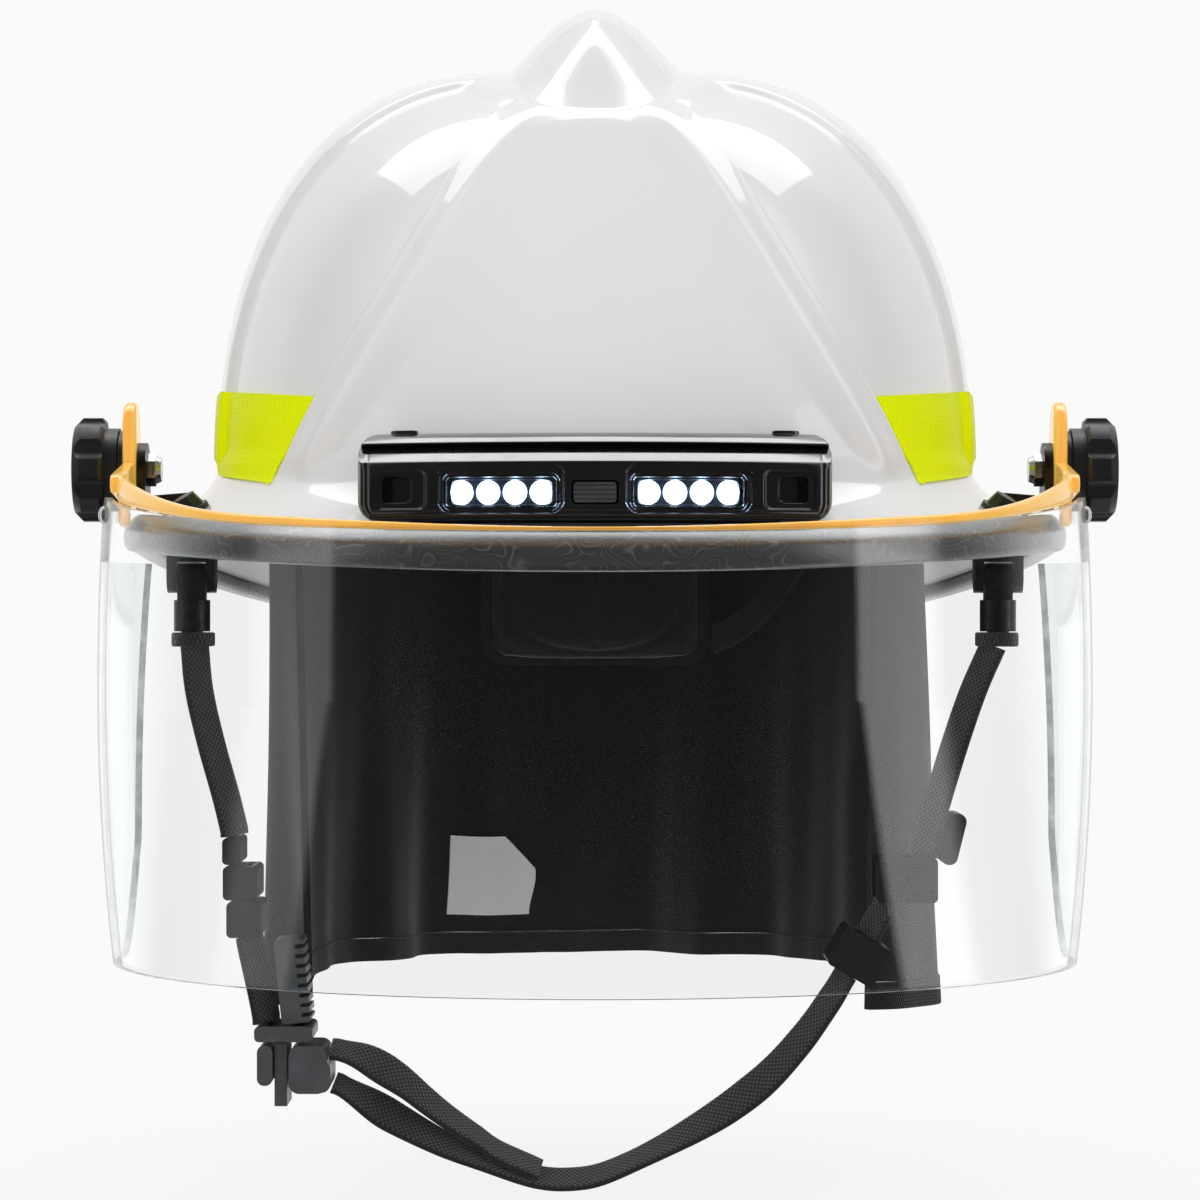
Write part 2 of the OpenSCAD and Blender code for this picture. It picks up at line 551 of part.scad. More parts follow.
// Hook-and-loop tabs between the curtain's top edge and the shell
module curtain_tabs() {
    color("#26272a") for (side = [-1, 1], u = [0.12, 0.38, 0.62]) {
        p = curtain_pt(side * u, 0.04, curtain_t / 2 + 0.55);
        q = curtain_pt(side * u, 0.04, 12);
        a = atan2(q.y - p.y, q.x - p.x);
        reach = tab_reach(p, a);
        translate(p) rotate([0, 0, a]) translate([0, -9, -6]) cube([reach - (u < 0.2 ? 1.4 : 1.1), 18, 22]);
    }
}
function tab_reach(p, a) = let(hit = [for (k = [0:0.2:30]) let(x = p.x + k * cos(a), y = p.y + k * sin(a))
    if (pow(abs(x) / (body_w / 2 - wall), body_square) + pow(abs(y - body_y) / (body_l / 2 - wall), body_square) > 1) k])
    hit[0];
// Bare cloth tag sewn to the inside of the curtain
module care_tag() {
    color("#d9d9d5") {
        grid = function(off) [for (v = [0.7, 0.8, 0.9]) [for (i = [0:6])
            curtain_pt(mix(-0.245, -0.095, i / 6), v, off)]];
        plate(grid(-curtain_t / 2 - 0.3), grid(-curtain_t / 2 - 0.9));
    }
}

// Light bar: an arc in plan, in front of the shell on the brim
light_y = body_y - body_l / 2 - light_d - 7;
function bar_share(depth) = (light_y + depth - edge_ring(0).y) / (base_ring(0).y - edge_ring(0).y);
// Underside of the bar, just clear of the brim, on a step of 0.05 mm
light_z = round(20 * (brim_pt(0, bar_share(9)).z + 2.089)) / 20;
under_rise = 10.7;
light_mid = light_z + light_h / 2;
light_corner = 5.6;
led_z = light_z + 8;
led_x = 25;
window = [29.2, 7.8];
halo = [33.4, 11.5];
button = [11.4, 5.4];
button_z = light_z + 7.8;
board_depth = 9.3;
board_t = 1.2;
cell_d = 6.6;
screw_y = 17.5;
screw_z = light_z + 8.7;
cell_z = light_z + 9.7;
// A sector of the bar between two depths behind its front face
module light_sector(d0, d1, w) {
    translate([0, light_y + light_r]) intersection() {
        difference() {
            circle(light_r - d0, $fn = 240);
            circle(light_r - d1, $fn = 240);
        }
        translate([-w / 2, -light_r - 1]) square([w, light_r * 0.7]);
    }
}
// A prism along Y with the outline of its 2D child, from in front of the bar to the depth given
module cut_in(x, z, depth) {
    translate([x, light_y + depth, z]) rotate([90, 0, 0]) linear_extrude(depth + 20) children();
}
// The part of such a prism that lies between two depths behind the curved face
module pocket(x, z, d1, d0 = -1) {
    intersection() {
        curved_block(d0, d1, light_w + 4, light_z - 2, light_z + light_h + 2);
        cut_in(x, z, light_d + 20) children();
    }
}
module curved_block(d0, d1, w, z0, z1) {
    translate([0, 0, z0]) linear_extrude(z1 - z0) light_sector(d0, d1, w);
}
// Places a child on the arc at a depth, at x across, facing outwards
module on_arc(x, depth, z) {
    translate([0, light_y + light_r, z]) rotate([0, 0, asin(x / (light_r - depth))])
        translate([0, depth - light_r, 0]) rotate([90, 0, 0]) children();
}
module light_housing() {
    cavity_top = light_z + light_h - 3.2;
    color("#222326") difference() {
        union() {
            intersection() {
                curved_block(0, light_d, light_w + 4, light_z - 1, light_z + light_h + 1);
                translate([0, light_y + light_d + 30, light_mid]) rotate([90, 0, 0]) linear_extrude(60)
                    rounded(light_w, light_h, light_corner);
            }
            for (x = [-51.5, 51.5]) translate([x - 3.85, light_y + 12, light_z + light_h - 1])
                cube([7.7, 8, 1.9]);
        }
        // Seam along the top of the front face
        curved_block(-1, 0.7, light_w + 2, light_z + light_h - 3.7, light_z + light_h - 2.8);
        for (side = [-1, 1]) {
            pocket(side * led_x, led_z, 4.4) rounded(halo.x, halo.y, 2);
            pocket(side * led_x, led_z, 9.2) rounded(window.x, window.y, 1.2);
            pocket(side * 52.2, screw_z, 2.6) rounded(13.8, 10.4, 2);
            cut_in(side * 53, screw_z, screw_y) rounded(8, 6.8, 1.5);
            translate([side * 53, light_y + screw_y - 1, screw_z]) rotate([-90, 0, 0])
                cylinder(r = 1.2 + run_fit, h = 8, $fn = 32);
        }
        pocket(0, button_z, 9.2) rounded(button.x + 0.5, button.y + 0.5, 1);
        // The cavity: a flat slot for the board, and behind it a deeper one for the cells
        curved_block(9, 12, 88, light_z + 3, cavity_top);
        curved_block(11.8, light_d - 1.8, 88, cell_z, cavity_top);
        // The back of the underside is cut away over the brim's rise
        translate([0, light_y + light_r, 0]) rotate_extrude($fn = 240)
            polygon([[light_r - 9, light_z - 5], [light_r - 9, light_z],
                [light_r - light_d - 1, light_z + under_rise], [light_r - light_d - 1, light_z - 5]]);
    }
}
// Rubber seat that fills the space between the bar's underside and the brim
module light_bracket() {
    under = function(p) let(r = norm([p.x, p.y - light_y - light_r]))
        light_z - seat - 0.15 + max(0, (light_r - 9 - r) / (light_d - 8)) * under_rise;
    front = max(0.24, bar_share(1.7));
    kink = max(front + 0.02, bar_share(8.8));
    back = max(kink + 0.04, bar_share(19));
    rows = [front, mix(front, kink, 0.5), kink, mix(kink, back, 0.5), back];
    ths = steps(-21, 21, 14);
    color("#2c2d30") plate(
        [for (f = rows) [for (th = ths) let(p = brim_pt(th, f)) [p.x, p.y, under(p)]]],
        [for (f = rows) [for (th = ths) brim_pt(th, f, seat + 0.15)]]);
}
// Clear windows over the two rows of LEDs
module light_lens() {
    color("#dfe8f2") for (side = [-1, 1]) pocket(side * led_x, led_z, 6, 4.5)
        rounded(window.x - 0.4, window.y - 0.4, 1);
}
module led_emitters() {
    color("#8fc8ff") for (side = [-1, 1], i = [-1.5:1:1.5])
        on_arc(side * led_x + i * led_pitch, board_depth - 0.1, led_z)
            cylinder(d1 = led_d, d2 = led_d - 1.4, h = 2.2, $fn = 32);
}
module led_board() {
    color("#2f6b3a") curved_block(board_depth, board_depth + board_t, 87.4, light_z + 3.2, light_z + 18);
}
// Push button, ribbed across its face
module light_button() {
    back = board_depth - gap - button_travel;
    color("#3a3b3f") difference() {
        translate([0, light_y + back, button_z]) rotate([90, 0, 0]) linear_extrude(back - 0.4)
            rounded(button.x, button.y, 0.9);
        for (i = [-1.5:1:1.5]) translate([-button.x, light_y + 0.2, button_z + i * 1.25 - 0.2])
            cube([2 * button.x, 0.7, 0.4]);
    }
}
// Two round cells lying in the cavity, end caps outwards
module battery_cells() {
    color("#57595c") for (side = [-1, 1]) translate([0, light_y + light_r, cell_z + 0.3 + cell_d / 2])
        rotate([0, 0, side * 9.6]) translate([0, 15.7 - light_r, 0]) rotate([0, 90, 0]) {
            cylinder(d = cell_d, h = 36, center = true, $fn = 40);
            cylinder(d = 3, h = 37.6, center = true, $fn = 24);
        }
}
module light_screws() {
    color(steel) for (side = [-1, 1]) translate([side * 53, light_y + screw_y - 0.1, screw_z]) rotate([90, 0, 0])
        difference() {
            union() {
                cylinder(d = 5.4, h = 2.2, $fn = 32);
                translate([0, 0, -6]) cylinder(d = 2.4, h = 7, $fn = 32);
            }
            translate([0, 0, 1]) cylinder(d = 2.8, h = 3, $fn = 6);
        }
}

// Face shield: a clear sheet bent to an oval round the pivot axis, hung outside the brim
shield_y = -35;
sheet_end = 109;
function shield_pt(th, v, in = 0) = let(
    top = th < 80 ? mix(-1, 9.5, pow(th / 80, 2.4)) : mix(9.5, -9, smooth((th - 80) / 7)),
    corner = max(0, th - 96) / (sheet_end - 4 * v - 96),
    foot = -shield_drop + 15 * pow(corner, 2.2), z = mix(top, foot, v),
    lean = z > -45 ? 1.5 * pow((z + 45) / 50, 2) : 4 * pow((z + 45) / 75, 2),
    a = th * (sheet_end - 4 * v) / sheet_end)
    [(shield_r - lean - in) * sin(a), shield_y - (shield_l - lean - in) * cos(a), z];
shield_cols = [0, 8, 16, 24, 32, 40, 48, 56, 64, 71, 77, 80, 83, 87, 91, 96, 100, 103.5, 106.5, 109];
module face_shield() {
    rows = [0, 0.12, 0.35, 0.6, 0.82, 1];
    all = concat([for (i = [len(shield_cols) - 1:-1:1]) -shield_cols[i]], shield_cols);
    grid = function(in) [for (v = rows) [for (th = all) let(p = shield_pt(abs(th), v, in))
        th < 0 ? flip_x(p) : p]];
    color([0.86, 0.9, 0.92, 0.35]) plate(grid(shield_t), grid(0));
}

// Where the pieces of a pivot lie along X, from the brim's bracket out to the knob
edging_top = edging_h / 2;
tab_x = 132.4;
tab_t = 2.6;
ear_x = tab_x + tab_t + 0.15;
disc_t = 1.5;
disc_x = ear_x + ear_t + 0.15;
knob_x = disc_x + disc_t + 0.15;
nut_h = 4.1;
module at_pivot(side) { mirror([side < 0 ? 1 : 0, 0, 0]) translate([0, -pivot_y, pivot_z]) rotate([0, 90, 0]) children(); }
// The amber frame: a band under the sheet's top edge that ends in an ear at each pivot
band_ths = [0, 8, 16, 24, 32, 40, 48, 56, 62, 68, 73, 77];
module shield_frame() {
    color(amber) {
        half = [for (th = band_ths) let(u = smooth((th - 40) / 37),
            p = shield_pt(th, 0, shield_t + 2.1), h = 3.4 + 3.4 * pow(u, 2), z = p.z + 0.9 + 2.2 * u)
            [for (q = [[1, -1], [1, 1], [-1, 1], [-1, -1]])
                [p.x + 1.6 * q[0] * sin(th), p.y - 1.6 * q[0] * cos(th), z + q[1] * h / 2]]];
        skin(concat([for (i = [len(half) - 1:-1:1]) [for (q = half[i]) flip_x(q)]], half), "fan");
        for (side = [1, -1]) frame_ear(side);
    }
}
module frame_ear(side) {
    mirror([side < 0 ? 1 : 0, 0, 0]) difference() {
        union() {
            translate([ear_x, 0, 0]) rotate([90, 0, 90]) linear_extrude(ear_t) {
                hull() {
                    translate([-pivot_y, pivot_z]) circle(11, $fn = 48);
                    translate([-pivot_y - 3, pivot_z + 11.5]) circle(8.4, $fn = 48);
                }
                hull() {
                    translate([-pivot_y - 4, pivot_z - 2]) circle(8.5, $fn = 48);
                    translate([-64, 13.3]) circle(2.6, $fn = 32);
                    translate([-48, 11.2]) circle(2.6, $fn = 32);
                }
            }
            translate([ear_x - 1.4, 0, 0]) rotate([90, 0, 90]) linear_extrude(ear_t - 1) translate([-61, 7.4])
                rounded(10.6, 13, 3);
        }
        translate([0, -pivot_y, pivot_z]) rotate([0, 90, 0]) cylinder(r = bolt_d / 2 + run_fit, h = 400, $fn = 48);
    }
}
// Rivet heads that hold the sheet on the frame's tabs
module shield_rivets() {
    color(steel) for (side = [-1, 1], y = [-63.8, -58.4]) {
        a = acos((shield_y - y) / shield_l);
        mirror([side < 0 ? 1 : 0, 0, 0]) translate([(shield_r - 1.15) * sin(a), y, 4.5]) rotate([0, 0, a - 90])
            rotate([0, 90, 0]) intersection() {
                cylinder(d = 5, h = 1.4, $fn = 32);
                translate([0, 0, -2.4]) sphere(r = 3.6, $fn = 40);
            }
    }
}
module pivot_bracket(side) {
    foot = brim_pt(80.5, 0.62, seat);
    edge = brim_pt(80.5, 0.25, seat);
    color(black) mirror([side < 0 ? 1 : 0, 0, 0]) difference() {
        union() {
            translate([0, -pivot_y + 8, 0]) rotate([90, 0, 0]) linear_extrude(16) polygon([
                [tab_x + tab_t, pivot_z], [tab_x, pivot_z], [tab_x, foot.z + 3], [foot.x - 1, foot.z + 4],
                [foot.x - 1, foot.z + 1.55], [edge.x - 3.2, edge.z + 2.5], [edge.x - 0.6, edging_top + 0.9],
                [tab_x + tab_t, edging_top + 0.9]]);
            translate([tab_x, -pivot_y, pivot_z]) rotate([0, 90, 0]) cylinder(r = 8, h = tab_t, $fn = 48);
        }
        translate([0, -pivot_y, pivot_z]) rotate([0, 90, 0]) cylinder(r = bolt_d / 2 + run_fit, h = 400, $fn = 48);
    }
}
module pivot_bracket_left() { pivot_bracket(-1); }
module pivot_bracket_right() { pivot_bracket(1); }
module pivot_nut(side) {
    color(steel) at_pivot(side) difference() {
        translate([0, 0, tab_x - nut_h - 0.05]) union() {
            translate([0, 0, 1.6]) cylinder(d = 9.8, h = nut_h - 1.6, $fn = 6);
            cylinder(d1 = 7, d2 = 8.4, h = 1.6, $fn = 40);
        }
        translate([0, 0, tab_x - nut_h - 0.05 + 1]) cylinder(r = bolt_d / 2 + run_fit, h = nut_h + 2, $fn = 48);
    }
}
module pivot_nut_left() { pivot_nut(-1); }
module pivot_nut_right() { pivot_nut(1); }
module friction_disc(side) {
    color(black) at_pivot(side) translate([0, 0, disc_x]) difference() {
        cylinder(d = 23, h = disc_t, $fn = 64);
        translate([0, 0, -1]) cylinder(r = bolt_d / 2 + run_fit, h = disc_t + 2, $fn = 48);
    }
}
module friction_disc_left() { friction_disc(-1); }
module friction_disc_right() { friction_disc(1); }
// A lobed knob moulded round the head of its bolt
module pivot_knob(side) {
    color(black) at_pivot(side) {
        translate([0, 0, tab_x - nut_h + 1.5]) cylinder(d = bolt_d, h = knob_x - tab_x + nut_h, $fn = 48);
        translate([0, 0, knob_x]) cylinder(d = 24.6, h = 4, $fn = 64);
        translate([0, 0, knob_x + 4]) difference() {
            rotate_extrude($fn = 72) polygon([[0, 0], [knob_d / 2 - 1, 0], [knob_d / 2, 1], [knob_d / 2, 6.6],
                [knob_d / 2 - 2.4, 9], [0, 9]]);
            for (i = [0:7]) rotate([0, 0, i * 45 + 22.5]) translate([knob_d / 2 + 2.2, 0, -1])
                cylinder(r = 4, h = 12, $fn = 32);
        }
    }
}
module pivot_knob_left() { pivot_knob(-1); }
module pivot_knob_right() { pivot_knob(1); }

// Chin strap anchors, in the brim ahead of the ears
anchor_th = 66;
anchor_f = 0.5;
anchor = brim_pt(anchor_th, anchor_f);
anchor_x = anchor.x;
anchor_y = anchor.y;
pin_d = 4;
eye_w = 8;
cheek = 2.5;
module both() { for (side = [0, 1]) mirror([side, 0, 0]) children(); }
module on_brim(th, f, up) {
    p = brim_pt(th, f, up);
    a = brim_pt(th, f + 0.05) - brim_pt(th, f - 0.05);
    az = atan2(a.y, a.x);
    translate(p) rotate([0, 0, az]) rotate([0, -atan2(a.z, norm([a.x, a.y])), 0]) children();
}
module brim_caps() {
    color(black) both() on_brim(anchor_th, anchor_f, 0.5) {
        cylinder(d = 11, h = 1.2, $fn = 40);
        translate([0, 0, 1.2]) cylinder(d1 = 9.4, d2 = 7, h = 4.2, $fn = 8);
    }
}
module strap_anchors() {
    color("#2b2c2f") both() {
        on_brim(anchor_th, anchor_f, -wall - 0.6) translate([0, 0, -3.2]) cylinder(d = 12.5, h = 3.2, $fn = 48);
        translate([anchor_x, anchor_y, 0]) {
            translate([0, 0, anchor_z + 5.5]) cylinder(d = 7, h = anchor.z - wall - 2.7 - anchor_z - 5.5, $fn = 40);
            translate([-eye_w / 2 - gap - cheek, -5, anchor_z + 3.9]) cube([eye_w + 2 * gap + 2 * cheek, 10, 1.9]);
            for (x = [-eye_w / 2 - gap - cheek, eye_w / 2 + gap]) translate([x, 0, anchor_z]) rotate([0, 90, 0])
                linear_extrude(cheek) {
                    circle(d = 10, $fn = 40);
                    translate([-5.8, -5]) square([5.8, 10]);
                }
            translate([0, 0, anchor_z]) rotate([0, 90, 0]) cylinder(d = pin_d, h = eye_w + 2 * gap + 2, center = true, $fn = 48);
        }
    }
}
module strap_swivels() {
    color(black) both() translate([anchor_x, anchor_y, anchor_z]) difference() {
        union() {
            rotate([0, 90, 0]) cylinder(d = 7, h = eye_w, center = true, $fn = 48);
            translate([-eye_w / 2, -3, -7]) cube([eye_w, 6, 7]);
            translate([0, 0, -16]) cylinder(d = 10.4, h = 9, $fn = 40);
            translate([0, 0, -19]) cylinder(d = 6.4, h = 4, $fn = 40);
        }
        rotate([0, 90, 0]) cylinder(r = pin_d / 2 + run_fit, h = 30, center = true, $fn = 48);
    }
}

// Chin strap, seen from the front: places are [x, z] in the plane below the anchors
function hang(line) = [for (p = line) [p[0], anchor_y, p[1]]];
side_across = [0.3, 0.95, 0];
chin_across = [0, 0.86, 0.5];
left_upper = [[-114.9, -32.9], [-113.6, -46], [-110.2, -61], [-106, -76], [-103.6, -87.2]];
left_lower = [[-98.9, -117.2], [-97.6, -124], [-95.6, -133], [-94.2, -140.9]];
head_web = [[-89.3, -146.2], [-87, -164.4]];
chin_upper = [[-73.8, -149.1], [-66, -151.5], [-56, -157.6], [-48.5, -163.6], [-41.7, -169], [-34, -175],
    [-27.3, -180.4], [-15.8, -185.9]];
chin_main = [[-74.7, -158.6], [-66, -163.4], [-56, -169.8], [-41.7, -178.6], [-27.3, -184.6], [-15.8, -188],
    [-6, -188.4], [3, -186.6], [15.8, -180.6], [30.2, -171.4], [47.4, -158.8], [58.9, -146.6], [67.5, -134.6],
    [72.03, -127.08]];
right_lower = [[78.4, -115.6], [82, -109.4], [83.6, -106.7]];
right_upper = [[94.4, -92.6], [97.6, -80], [103.4, -61], [108.6, -46], [114.2, -33.2]];
module strap_webbing() {
    color("#2c2d31") {
        for (line = [left_upper, left_lower]) ribbon(hang(line), side_across, web_w, web_t);
        ribbon(hang(right_lower), [-side_across.x, side_across.y, 0], web_w, web_t);
        ribbon(hang(right_upper), [-side_across.x, side_across.y, 0], web_w, web_t);
        for (line = [chin_upper, chin_main]) ribbon(hang(line), chin_across, web_w, web_t);
    }
}
slide_l = web_w + 6;
// A moulded block along Y, w wide and h tall, with bars of the slide cut through it
module slide(x, z, w, h, lean = 0, slots = 1) {
    translate([x, anchor_y, z]) rotate([0, lean, 0]) difference() {
        rotate([90, 0, 0]) linear_extrude(slide_l, center = true) rounded(w, h, 1.4);
        for (i = [0:slots - 1]) translate([(i - (slots - 1) / 2) * w / 2.4, 0, 0])
            cube([w / 5, web_w + 0.8, h + 2], center = true);
    }
}
module strap_buckle() {
    color(black) {
        slide(-103.4, -91.5, 5.2, 7.6);
        slide(-100.9, -100.6, 9.8, 9.6, 0, 2);
        slide(-99.9, -111, 9.8, 10.2, 0, 2);
    }
    color(steel) translate([-106.6, anchor_y, -91.5]) rotate([0, 90, 0]) cylinder(d = 5, h = 0.5, $fn = 32);
}
module release_buckle() {
    color("#3a3b3e") {
        slide(-88.6, -143.5, 16.6, 4.4, 0, 2);
        translate([-86.3, anchor_y, -128.7]) rotate([0, -6, 0]) difference() {
            rotate([90, 0, 0]) linear_extrude(web_w, center = true) rounded(8.4, 24, 1);
            for (i = [-3.5:1:3.5]) translate([3, 0, i * 2.8]) cube([3, web_w + 2, 1.1], center = true);
        }
        translate([-81.6, anchor_y, -153.6]) rotate([90, 0, 0]) linear_extrude(slide_l, center = true) {
            rounded(11, 13.6, 3);
            translate([3.4, -2]) rounded(6, 9, 2.6);
        }
        translate([-93.9, anchor_y, -152.4]) rotate([90, 0, 0]) linear_extrude(slide_l, center = true)
            rounded(4.4, 11.4, 2);
    }
    color("#2c2d31") ribbon(hang([[-89.5, -146.1], [-89.5, -164.2]]), [0, 1, 0], web_w, 3.6);
}
module slide_adjuster() {
    color(black) {
        slide(75.2, -121.6, 15, 12, 30, 2);
        slide(88.8, -99.8, 17.4, 12.8, 0, 3);
    }
}
module pull_tab() {
    color("#303135") translate([102.2, anchor_y, -88.2]) rotate([0, 14, 0]) rotate([90, 0, 0])
        linear_extrude(web_w - 1, center = true) rounded(5, 15, 2.4);
}

// Hanging ring under the brim at the nape
hanger_f = 0.42;
hanger = brim_pt(180, hanger_f, -wall - 1);
knuckle_r = ring_wire / 2 + 2;
hanger_w = 20;
module at_hanger() { translate(hanger) rotate([hanger_slope, 0, 0]) children(); }
hanger_slope = let(a = brim_pt(180, hanger_f + 0.1), b = brim_pt(180, hanger_f - 0.1))
    atan2(b.z - a.z, b.y - a.y);
module hanger_bracket() {
    color(black) at_hanger() difference() {
        union() {
            translate([-23.5, -7, -2]) cube([47, 14, 2]);
            translate([-hanger_w / 2, 0, -2 - knuckle_r + 0.6]) rotate([0, 90, 0])
                cylinder(r = knuckle_r, h = hanger_w, $fn = 48);
            translate([-hanger_w / 2, -knuckle_r, -2 - knuckle_r + 0.6]) cube([hanger_w, 2 * knuckle_r, knuckle_r - 0.6]);
        }
        translate([0, 0, -2 - knuckle_r + 0.6]) rotate([0, 90, 0])
            cylinder(r = ring_wire / 2 + run_fit, h = 60, center = true, $fn = 48);
        for (x = [-20, 20]) translate([x, 0, 0]) cylinder(r = 2.1, h = 8, center = true, $fn = 40);
    }
}
module hanger_rivets() {
    color(steel) at_hanger() for (x = [-20, 20]) translate([x, 0, 0]) {
        translate([0, 0, -2.1]) cylinder(r = 2, h = 2, $fn = 40);
        translate([0, 0, -3.4]) cylinder(r1 = 2.2, r2 = 3, h = 1.35, $fn = 40);
    }
}
module hanging_ring() {
    r = ring_bore / 2 + ring_wire / 2;
    color(steel) at_hanger() translate([0, 0, -2 - knuckle_r + 0.6]) rotate([-hanger_slope, 0, 0]) {
        rotate([0, 90, 0]) cylinder(d = ring_wire, h = 2 * r, center = true, $fn = 40);
        rotate([90, 0, 0]) rotate([0, 0, 180]) rotate_extrude(angle = 180, $fn = 64)
            translate([r, 0]) circle(d = ring_wire, $fn = 24);
        for (x = [-r, r]) translate([x, 0, 0]) sphere(d = ring_wire, $fn = 24);
    }
}

outer_shell();
brim_edging();
reflective_trim();
impact_liner();
suspension_lugs();
crown_straps();
crown_pad();
headband();
band_hangers();
brow_pad();
adjust_strip_left();
adjust_strip_right();
ratchet_housing();
ratchet_cover();
ratchet_pinion();
ratchet_knob();
nape_pad();
neck_curtain();
curtain_binding();
curtain_tabs();
care_tag();
light_housing();
light_bracket();
light_lens();
led_emitters();
led_board();
light_button();
battery_cells();
light_screws();
face_shield();
shield_frame();
shield_rivets();
pivot_bracket_left();
pivot_bracket_right();
pivot_nut_left();
pivot_nut_right();
friction_disc_left();
friction_disc_right();
pivot_knob_left();
pivot_knob_right();
brim_caps();
strap_anchors();
strap_swivels();
strap_webbing();
strap_buckle();
release_buckle();
slide_adjuster();
pull_tab();
hanger_bracket();
hanger_rivets();
hanging_ring();
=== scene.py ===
"""Fire helmet with face shield, light bar, neck curtain and chin strap, dressed for the studio.

Sizes are in millimetres until a mesh is made, which turns them to metres. The wearer looks
along -Y, X runs to the right of the picture and Z up; the origin lies in the head opening.
"""
import functools
import logging
import math
from dataclasses import dataclass
from enum import Enum
from typing import Callable, Optional, Sequence, Union

import bmesh
import bpy
import numpy as np
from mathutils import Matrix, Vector


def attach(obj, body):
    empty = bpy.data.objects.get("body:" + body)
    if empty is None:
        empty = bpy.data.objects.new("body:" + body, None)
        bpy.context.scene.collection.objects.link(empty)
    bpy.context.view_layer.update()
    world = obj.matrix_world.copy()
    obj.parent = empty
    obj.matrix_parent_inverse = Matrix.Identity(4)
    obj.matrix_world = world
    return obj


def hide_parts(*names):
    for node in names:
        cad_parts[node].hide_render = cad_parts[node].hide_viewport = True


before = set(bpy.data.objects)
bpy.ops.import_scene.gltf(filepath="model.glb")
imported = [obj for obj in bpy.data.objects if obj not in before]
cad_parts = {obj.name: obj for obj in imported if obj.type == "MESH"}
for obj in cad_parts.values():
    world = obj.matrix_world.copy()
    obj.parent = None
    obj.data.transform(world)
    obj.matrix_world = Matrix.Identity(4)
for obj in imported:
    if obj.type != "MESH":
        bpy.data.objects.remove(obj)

log = logging.getLogger("helmet")
Array = np.ndarray
Socket = bpy.types.NodeSocket
MM = 0.001


class Body(Enum):
    """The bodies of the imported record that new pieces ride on."""

    HELMET = "helmet"
    SHIELD = "shield"
    CHIN = "chin_strap"


class Slot(Enum):
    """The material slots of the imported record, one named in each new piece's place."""

    SHELL = "shell_white"
    EDGING = "edging_rubber"
    TRIM = "trim_lime"
    LINER = "liner_foam"
    SHEET = "shield_clear"
    FRAME = "frame_amber"
    DIODE = "led_dome"
    LIGHT = "light_body"
    WEBBING = "harness_webbing"
    PAD = "pad_cloth"
    TAG = "tag_cloth"
    CURTAIN = "curtain_cloth"
    BINDING = "binding_tape"


# Meshes


def unit(v: Array) -> Array:
    """Vectors along the last axis, each brought to length 1."""
    return v / np.maximum(np.linalg.norm(v, axis=-1, keepdims=True), 1e-12)


def smooth(t: Array) -> Array:
    """Smoothstep: 3t^2 - 2t^3 between 0 and 1, level outside."""
    t = np.clip(t, 0, 1)
    return t * t * (3 - 2 * t)


def signed_power(v: Array, e: float) -> Array:
    """|v| to the power e, with the sign of v."""
    return np.sign(v) * np.abs(v) ** e


def mirrored(points: Array, left: Array) -> Array:
    """Points whose x changes sign where left is true."""
    return points * np.stack([np.where(left, -1, 1), 1 + 0 * left, 1 + 0 * left], -1)


def oval(half_x: float, half_y: float, mid_y: float, power: Union[float, Array], angle: Array) -> Array:
    """A superellipse in plan.

    Formula: x = half_x sin(angle)^(2/power), y = mid_y - half_y cos(angle)^(2/power).

    Args:
        half_x: Half its width.
        half_y: Half its length.
        mid_y: Its middle along Y.
        power: Its squareness, 2 for an ellipse.
        angle: Radians from the front.

    Returns:
        Points with x and y on the last axis.
    """
    return np.stack([half_x * signed_power(np.sin(angle), 2 / power),
                     mid_y - half_y * signed_power(np.cos(angle), 2 / power)], -1)


def circle(count: int) -> Array:
    """Angles once round, evenly spaced, without a last one that meets the first."""
    return np.linspace(0, 2 * math.pi, count + 1)[:-1]


def grid_quads(rows: int, cols: int, loop_rows: bool = False, loop_cols: bool = False) -> Array:
    """Quads between the points of a grid stored row after row.

    Args:
        rows: Rows of points.
        cols: Points in a row.
        loop_rows: Whether the last row joins the first.
        loop_cols: Whether each row closes on itself.

    Returns:
        Point numbers, four to a face.
    """
    i, j = np.meshgrid(np.arange(rows - (not loop_rows)), np.arange(cols - (not loop_cols)), indexing="ij")
    k, m = (i + 1) % rows, (j + 1) % cols
    return np.stack([i * cols + j, i * cols + m, k * cols + m, k * cols + j], -1).reshape(-1, 4)


def rim_of(rows: int, cols: int) -> Array:
    """Numbers of a grid's outermost points, once round."""
    cells = np.arange(rows * cols).reshape(rows, cols)
    return np.concatenate([cells[0], cells[1:, -1], cells[-1, -2::-1], cells[-2:0:-1, 0]])


def catmull(points: Sequence[Sequence[float]], count: int) -> Array:
    """A smooth line through points.

    Formula: a Catmull-Rom cubic between neighbours, its ends' tangents reflected.

    Args:
        points: The points to pass through.
        count: How many points to return, evenly spaced in the parameter.

    Returns:
        Points, one to a row.
    """
    p = np.asarray(points, float)
    p = np.vstack([2 * p[0] - p[1], p, 2 * p[-1] - p[-2]])
    t = np.linspace(0, len(p) - 3 - 1e-9, count)
    i = t.astype(int)
    u = (t - i)[:, None]
    a, b, c, d = p[i], p[i + 1], p[i + 2], p[i + 3]
    return 0.5 * (2 * b + (c - a) * u + (2 * a - 5 * b + 4 * c - d) * u**2 + (3 * b - a - 3 * c + d) * u**3)


